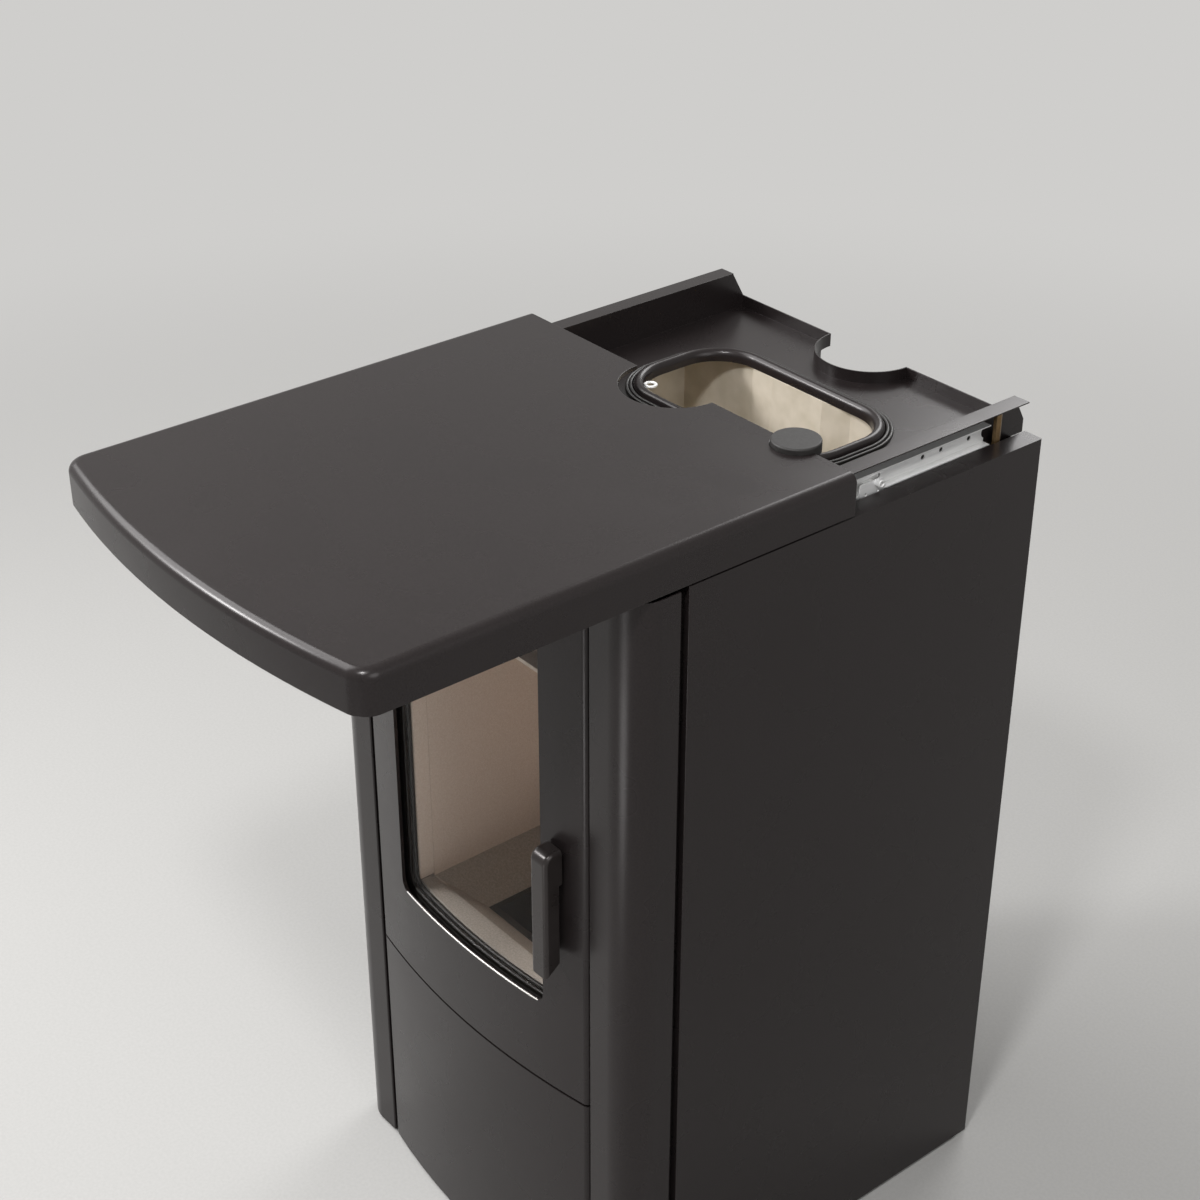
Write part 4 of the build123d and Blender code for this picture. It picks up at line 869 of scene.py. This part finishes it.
def turned_screw(name, radius, height, shank_radius, shank_length):
    """The screw's body, its head above z = 0 and its shank below."""
    outline = [(shank_radius * tip_share, -shank_length),
               (shank_radius, tip_length - shank_length), (shank_radius, 0), (radius, 0)]
    outline += [(radius * wide, height * high) for wide, high in crown_shares]
    work = bmesh.new()
    rows = []
    for r, z in outline:
        rows.append([work.verts.new((r * cos(2 * pi * i / screw_sides),
                                     r * sin(2 * pi * i / screw_sides), z))
                     for i in range(screw_sides)])
    for low, high in zip(rows, rows[1:]):
        for i in range(screw_sides):
            j = (i + 1) % screw_sides
            work.faces.new((low[i], low[j], high[j], high[i]))
    work.faces.new(rows[0][::-1])
    work.faces.new(rows[-1])
    screw = piece_from(work, name)
    screw.data.shade_smooth()
    screw.data.set_sharp_from_angle(angle=radians(crisp_from))
    return screw


def crossed_bars(radius, height):
    """The cutter for the recess; one bar stands a hair higher, so that no faces coincide."""
    reach, half_width, depth = radius * recess_reach, radius * recess_width, height * recess_depth
    hair = 0.0001 * mm
    work = bmesh.new()
    for turn in (0, pi / 2):
        bar = bmesh.ops.create_cube(work, size=1.0)["verts"]
        bmesh.ops.scale(work, verts=bar, vec=(2 * reach, 2 * half_width, 2 * depth))
        bmesh.ops.rotate(work, verts=bar, matrix=Matrix.Rotation(turn, 3, "Z"))
        bmesh.ops.translate(work, verts=bar, vec=(0, 0, height + hair * turn))
    return piece_from(work, "recess")


def make_screw(name, radius, height, shank_radius, shank_length):
    """A pan-head screw with a cross recess."""
    screw = turned_screw(name, radius, height, shank_radius, shank_length)
    bars = crossed_bars(radius, height)
    cut = screw.modifiers.new("recess", "BOOLEAN")
    cut.operation = "DIFFERENCE"
    cut.solver = "EXACT"
    cut.use_self = True
    cut.object = bars
    bake_modifiers(screw)
    bpy.data.objects.remove(bars)
    return screw


print("a screw has", screw_sides, "sides")


# %% [markdown]
# Screws repeat, so Geometry Nodes place them: one screw is modelled, and a tree puts a copy of
# it on every point of a small mesh of places. The tree has named inputs for the screw, for the
# way it faces and for its finish. Realize Instances makes the copies real, because only real
# geometry can be exported.

# %% The tree that sets screws on places
def make_screw_tree():
    tree = bpy.data.node_groups.new("screws on places", "GeometryNodeTree")
    face = tree.interface
    face.new_socket("Places", in_out="INPUT", socket_type="NodeSocketGeometry")
    sockets = {
        "screw": face.new_socket("Screw", in_out="INPUT", socket_type="NodeSocketObject"),
        "turn": face.new_socket("Turn", in_out="INPUT", socket_type="NodeSocketVector"),
        "finish": face.new_socket("Finish", in_out="INPUT", socket_type="NodeSocketMaterial"),
    }
    face.new_socket("Screws", in_out="OUTPUT", socket_type="NodeSocketGeometry")
    given = node(tree, "NodeGroupInput")
    screw = node(tree, "GeometryNodeObjectInfo", {"Object": given.outputs["Screw"]})
    copies = node(tree, "GeometryNodeInstanceOnPoints", {"Points": given.outputs["Places"],
                                                         "Instance": screw.outputs["Geometry"],
                                                         "Rotation": given.outputs["Turn"]})
    real = node(tree, "GeometryNodeRealizeInstances", {"Geometry": copies.outputs["Instances"]})
    painted = node(tree, "GeometryNodeSetMaterial", {"Geometry": real.outputs["Geometry"],
                                                     "Material": given.outputs["Finish"]})
    node(tree, "NodeGroupOutput", {"Screws": painted.outputs["Geometry"]})
    return tree, {name: socket.identifier for name, socket in sockets.items()}


def set_screws(piece_name, screw, places, turn, material, *replaced):
    """One piece of the casing with a screw on each place, turned by angles in radians."""
    mesh = bpy.data.meshes.new(piece_name)
    mesh.from_pydata(places, [], [])
    piece = link_piece(mesh, piece_name)
    spread = piece.modifiers.new("screws", "NODES")
    spread.node_group = screw_tree
    spread[screw_inputs["screw"]] = screw
    spread[screw_inputs["turn"]] = turn
    spread[screw_inputs["finish"]] = material
    bake_modifiers(piece)
    bpy.data.objects.remove(screw)
    return settle(piece, "casing", material, "zinc_steel", *replaced)


screw_tree, screw_inputs = make_screw_tree()
print("screw tree nodes:", len(screw_tree.nodes))


# %% [markdown]
# Ten blackened screws hold the back panel along its two edges. They are a node of the frame,
# which this piece replaces. Four plated screws on the flange of the air pipe and four blackened
# ones on the ledges of the pan are added here.

# %% Screws all over
rear_rows = 5
rear_margin = 70 * mm
panel_top = 935 * mm
rear_x, rear_y = 241 * mm, 235 * mm
rear_step = (panel_top - 2 * rear_margin) / (rear_rows - 1)
face_back, face_up = (-pi / 2, 0, 0), (0, 0, 0)
rear_places = [(side * rear_x, rear_y, rear_margin + row * rear_step)
               for side in (-1, 1) for row in range(rear_rows)]
rear_screw = make_screw("rear_screw", radius=4 * mm, height=2.2 * mm, shank_radius=2 * mm,
                        shank_length=8.8 * mm)
rear_screws = set_screws("rear_panel_screws", rear_screw, rear_places, face_back, screw_black,
                         "screws")
print("rear screw faces:", len(rear_screws.data.polygons))

intake_x, intake_z = 150 * mm, 110 * mm
intake_circle = 30 * mm
intake_places = [(intake_x + intake_circle * cos(a), rear_y, intake_z + intake_circle * sin(a))
                 for a in (pi / 4, 3 * pi / 4, 5 * pi / 4, 7 * pi / 4)]
intake_screw = make_screw("intake_screw", radius=3.2 * mm, height=1.8 * mm,
                          shank_radius=1.6 * mm, shank_length=1.5 * mm)
set_screws("air_intake_screws", intake_screw, intake_places, face_back, zinc)

ledge_x = 218 * mm
ledge_rear, ledge_front = 116 * mm, -180 * mm
ledge_places = [(side * ledge_x, y, deck_level)
                for side in (-1, 1) for y in (ledge_rear, ledge_front)]
ledge_screw = make_screw("ledge_screw", radius=4 * mm, height=2.4 * mm, shank_radius=1.6 * mm,
                         shank_length=1.2 * mm)
set_screws("pan_ledge_screws", ledge_screw, ledge_places, face_up, screw_black)
print("screws set:", len(rear_places) + len(intake_places) + len(ledge_places))


# %% [markdown]
# The middle member of each slide ends in a stop plate with a short tube on it, which rides
# against the fixed member. The tube is turned steel: a thin wall with a small rounding at its
# mouth.

# %% Stop tubes on the slides
stop_y, stop_z = 27 * mm, 943.5 * mm
stop_start, stop_end = 223.3 * mm, 229.5 * mm
stop_radius, stop_bore = 4.2 * mm, 2.3 * mm
stop_rounding = 0.6 * mm
stop_steps = 24


def make_stop(name, side, body):
    profile = [(stop_start, stop_bore), (stop_end - stop_rounding, stop_bore),
               (stop_end, stop_bore + stop_rounding), (stop_end, stop_radius - stop_rounding),
               (stop_end - stop_rounding, stop_radius), (stop_start, stop_radius)]
    rings = []
    for step in range(stop_steps):
        a = 2 * pi * step / stop_steps
        rings.append([(side * x, stop_y + r * cos(a), stop_z + r * sin(a)) for x, r in profile])
    piece = shade(skin(name, rings), smooth_within=30)
    return settle(piece, body, zinc, "zinc_steel")


make_stop("right_slide_stop", 1, body_of_node["slide_middle_right"])
left_stop = make_stop("left_slide_stop", -1, body_of_node["slide_middle_left"])
print("stop tube faces:", len(left_stop.data.polygons))

# %% [markdown]
# The stove stands on a plain pale studio floor under soft lamps. The pale backdrop is there for
# the camera, for glossy reflections and for glass only, so that it puts no extra light on the
# dark paint; what lights the stove from all round is much dimmer.

# %% Rays that see the backdrop
backdrop_colour = "#cfcecc"


def seen_ray(tree):
    """One for camera, glossy and transmitted rays, and nought for the rays that carry light."""
    ray = node(tree, "ShaderNodeLightPath")
    either = node(tree, "ShaderNodeMath", {0: ray.outputs["Is Camera Ray"],
                                           1: ray.outputs["Is Transmission Ray"]},
                  operation="ADD", use_clamp=True)
    return node(tree, "ShaderNodeMath", {0: either.outputs[0], 1: ray.outputs["Is Glossy Ray"]},
                operation="ADD", use_clamp=True).outputs[0]


print("backdrop", backdrop_colour)

# %% [markdown]
# The floor is matt paper. Far from the stove it passes over into the backdrop's own colour, as
# a studio's paper sweep does, so no horizon shows; near the stove it stays real paper, which
# takes the stove's shadow.

# %% Floor
floor_half = 6.0
fade_start, fade_end = 1.1, 3.2


def make_floor():
    mesh = bpy.data.meshes.new("floor")
    corners = [(-floor_half, -floor_half, 0), (floor_half, -floor_half, 0),
               (floor_half, floor_half, 0), (-floor_half, floor_half, 0)]
    mesh.from_pydata(corners, [], [(0, 1, 2, 3)])
    floor = link_piece(mesh, "floor")
    material, tree, shader, place = start_material("matt studio paper", "#b5b4b2",
                                                   roughness=0.9)
    mottle(tree, shader, place, size=4 * mm, colours=("#b3b2b0", "#b7b6b4"))
    away = node(tree, "ShaderNodeVectorMath", {0: place}, operation="LENGTH")
    fade = node(tree, "ShaderNodeMapRange", {"Value": away.outputs["Value"]},
                interpolation_type="SMOOTHSTEP", From_Min=fade_start, From_Max=fade_end)
    share = node(tree, "ShaderNodeMath", {0: fade.outputs["Result"], 1: seen_ray(tree)},
                 operation="MULTIPLY")
    paper = node(tree, "ShaderNodeEmission", Color=hex_colour(backdrop_colour), Strength=1.0)
    mix = node(tree, "ShaderNodeMixShader", {0: share.outputs[0], 1: shader.outputs["BSDF"],
                                             2: paper.outputs["Emission"]})
    tree.links.new(mix.outputs["Shader"], tree.nodes["Material Output"].inputs["Surface"])
    mesh.materials.append(material)


make_floor()
print("floor side", 2 * floor_half, "m")


# %% [markdown]
# Dark satin paint is drawn by what it reflects, so each lamp has one job. The key is a wide
# soft light from the left; the fill lightens the side, and the rim lights the back. Three small
# weak ones draw highlights: along the rounded front edge of the lid, on its near corner, and
# down the rounded post. The camera sees none of them.

# %% Lamps and backdrop
ambient_strength = 0.24


def make_lamp(name, place, target, size, power):
    data = bpy.data.lights.new(name, "AREA")
    data.shape = "DISK"
    data.size = size
    data.energy = power
    lamp = bpy.data.objects.new(name, data)
    lamp.location = place
    lamp.rotation_euler = (Vector(target) - Vector(place)).to_track_quat("-Z", "Y").to_euler()
    lamp.visible_camera = False
    bpy.context.scene.collection.objects.link(lamp)


def make_world():
    """Dim light from all round; a pale backdrop for camera, glossy and transmitted rays."""
    world = bpy.data.worlds.new("studio")
    bpy.context.scene.world = world
    world.use_nodes = True
    tree = world.node_tree
    light = tree.nodes["Background"]
    light.inputs["Color"].default_value = hex_colour("#e4e2df")
    light.inputs["Strength"].default_value = ambient_strength
    seen = node(tree, "ShaderNodeBackground", Color=hex_colour(backdrop_colour), Strength=1.0)
    mix = node(tree, "ShaderNodeMixShader", {0: seen_ray(tree),
                                             1: light.outputs["Background"],
                                             2: seen.outputs["Background"]})
    tree.links.new(mix.outputs["Shader"], tree.nodes["World Output"].inputs["Surface"])


make_world()
make_lamp("key", (-1.9, -1.1, 2.9), (0, -0.2, 0.8), size=2.4, power=80)
make_lamp("edge", (-1.75, -1.95, 2.3), (0, -0.5, 0.9), size=0.55, power=40)
make_lamp("corner", (0.95, -1.42, 2.87), (0.25, -0.6, 0.98), size=0.34, power=34)
make_lamp("band", (0.36, -1.05, 0.28), (0.25, -0.3, 0.7), size=0.3, power=0.9)
make_lamp("fill", (2.6, -0.4, 1.9), (0, 0, 0.6), size=1.6, power=18)
make_lamp("rim", (-0.9, 2.4, 2.6), (0, 0, 0.7), size=1.6, power=42)
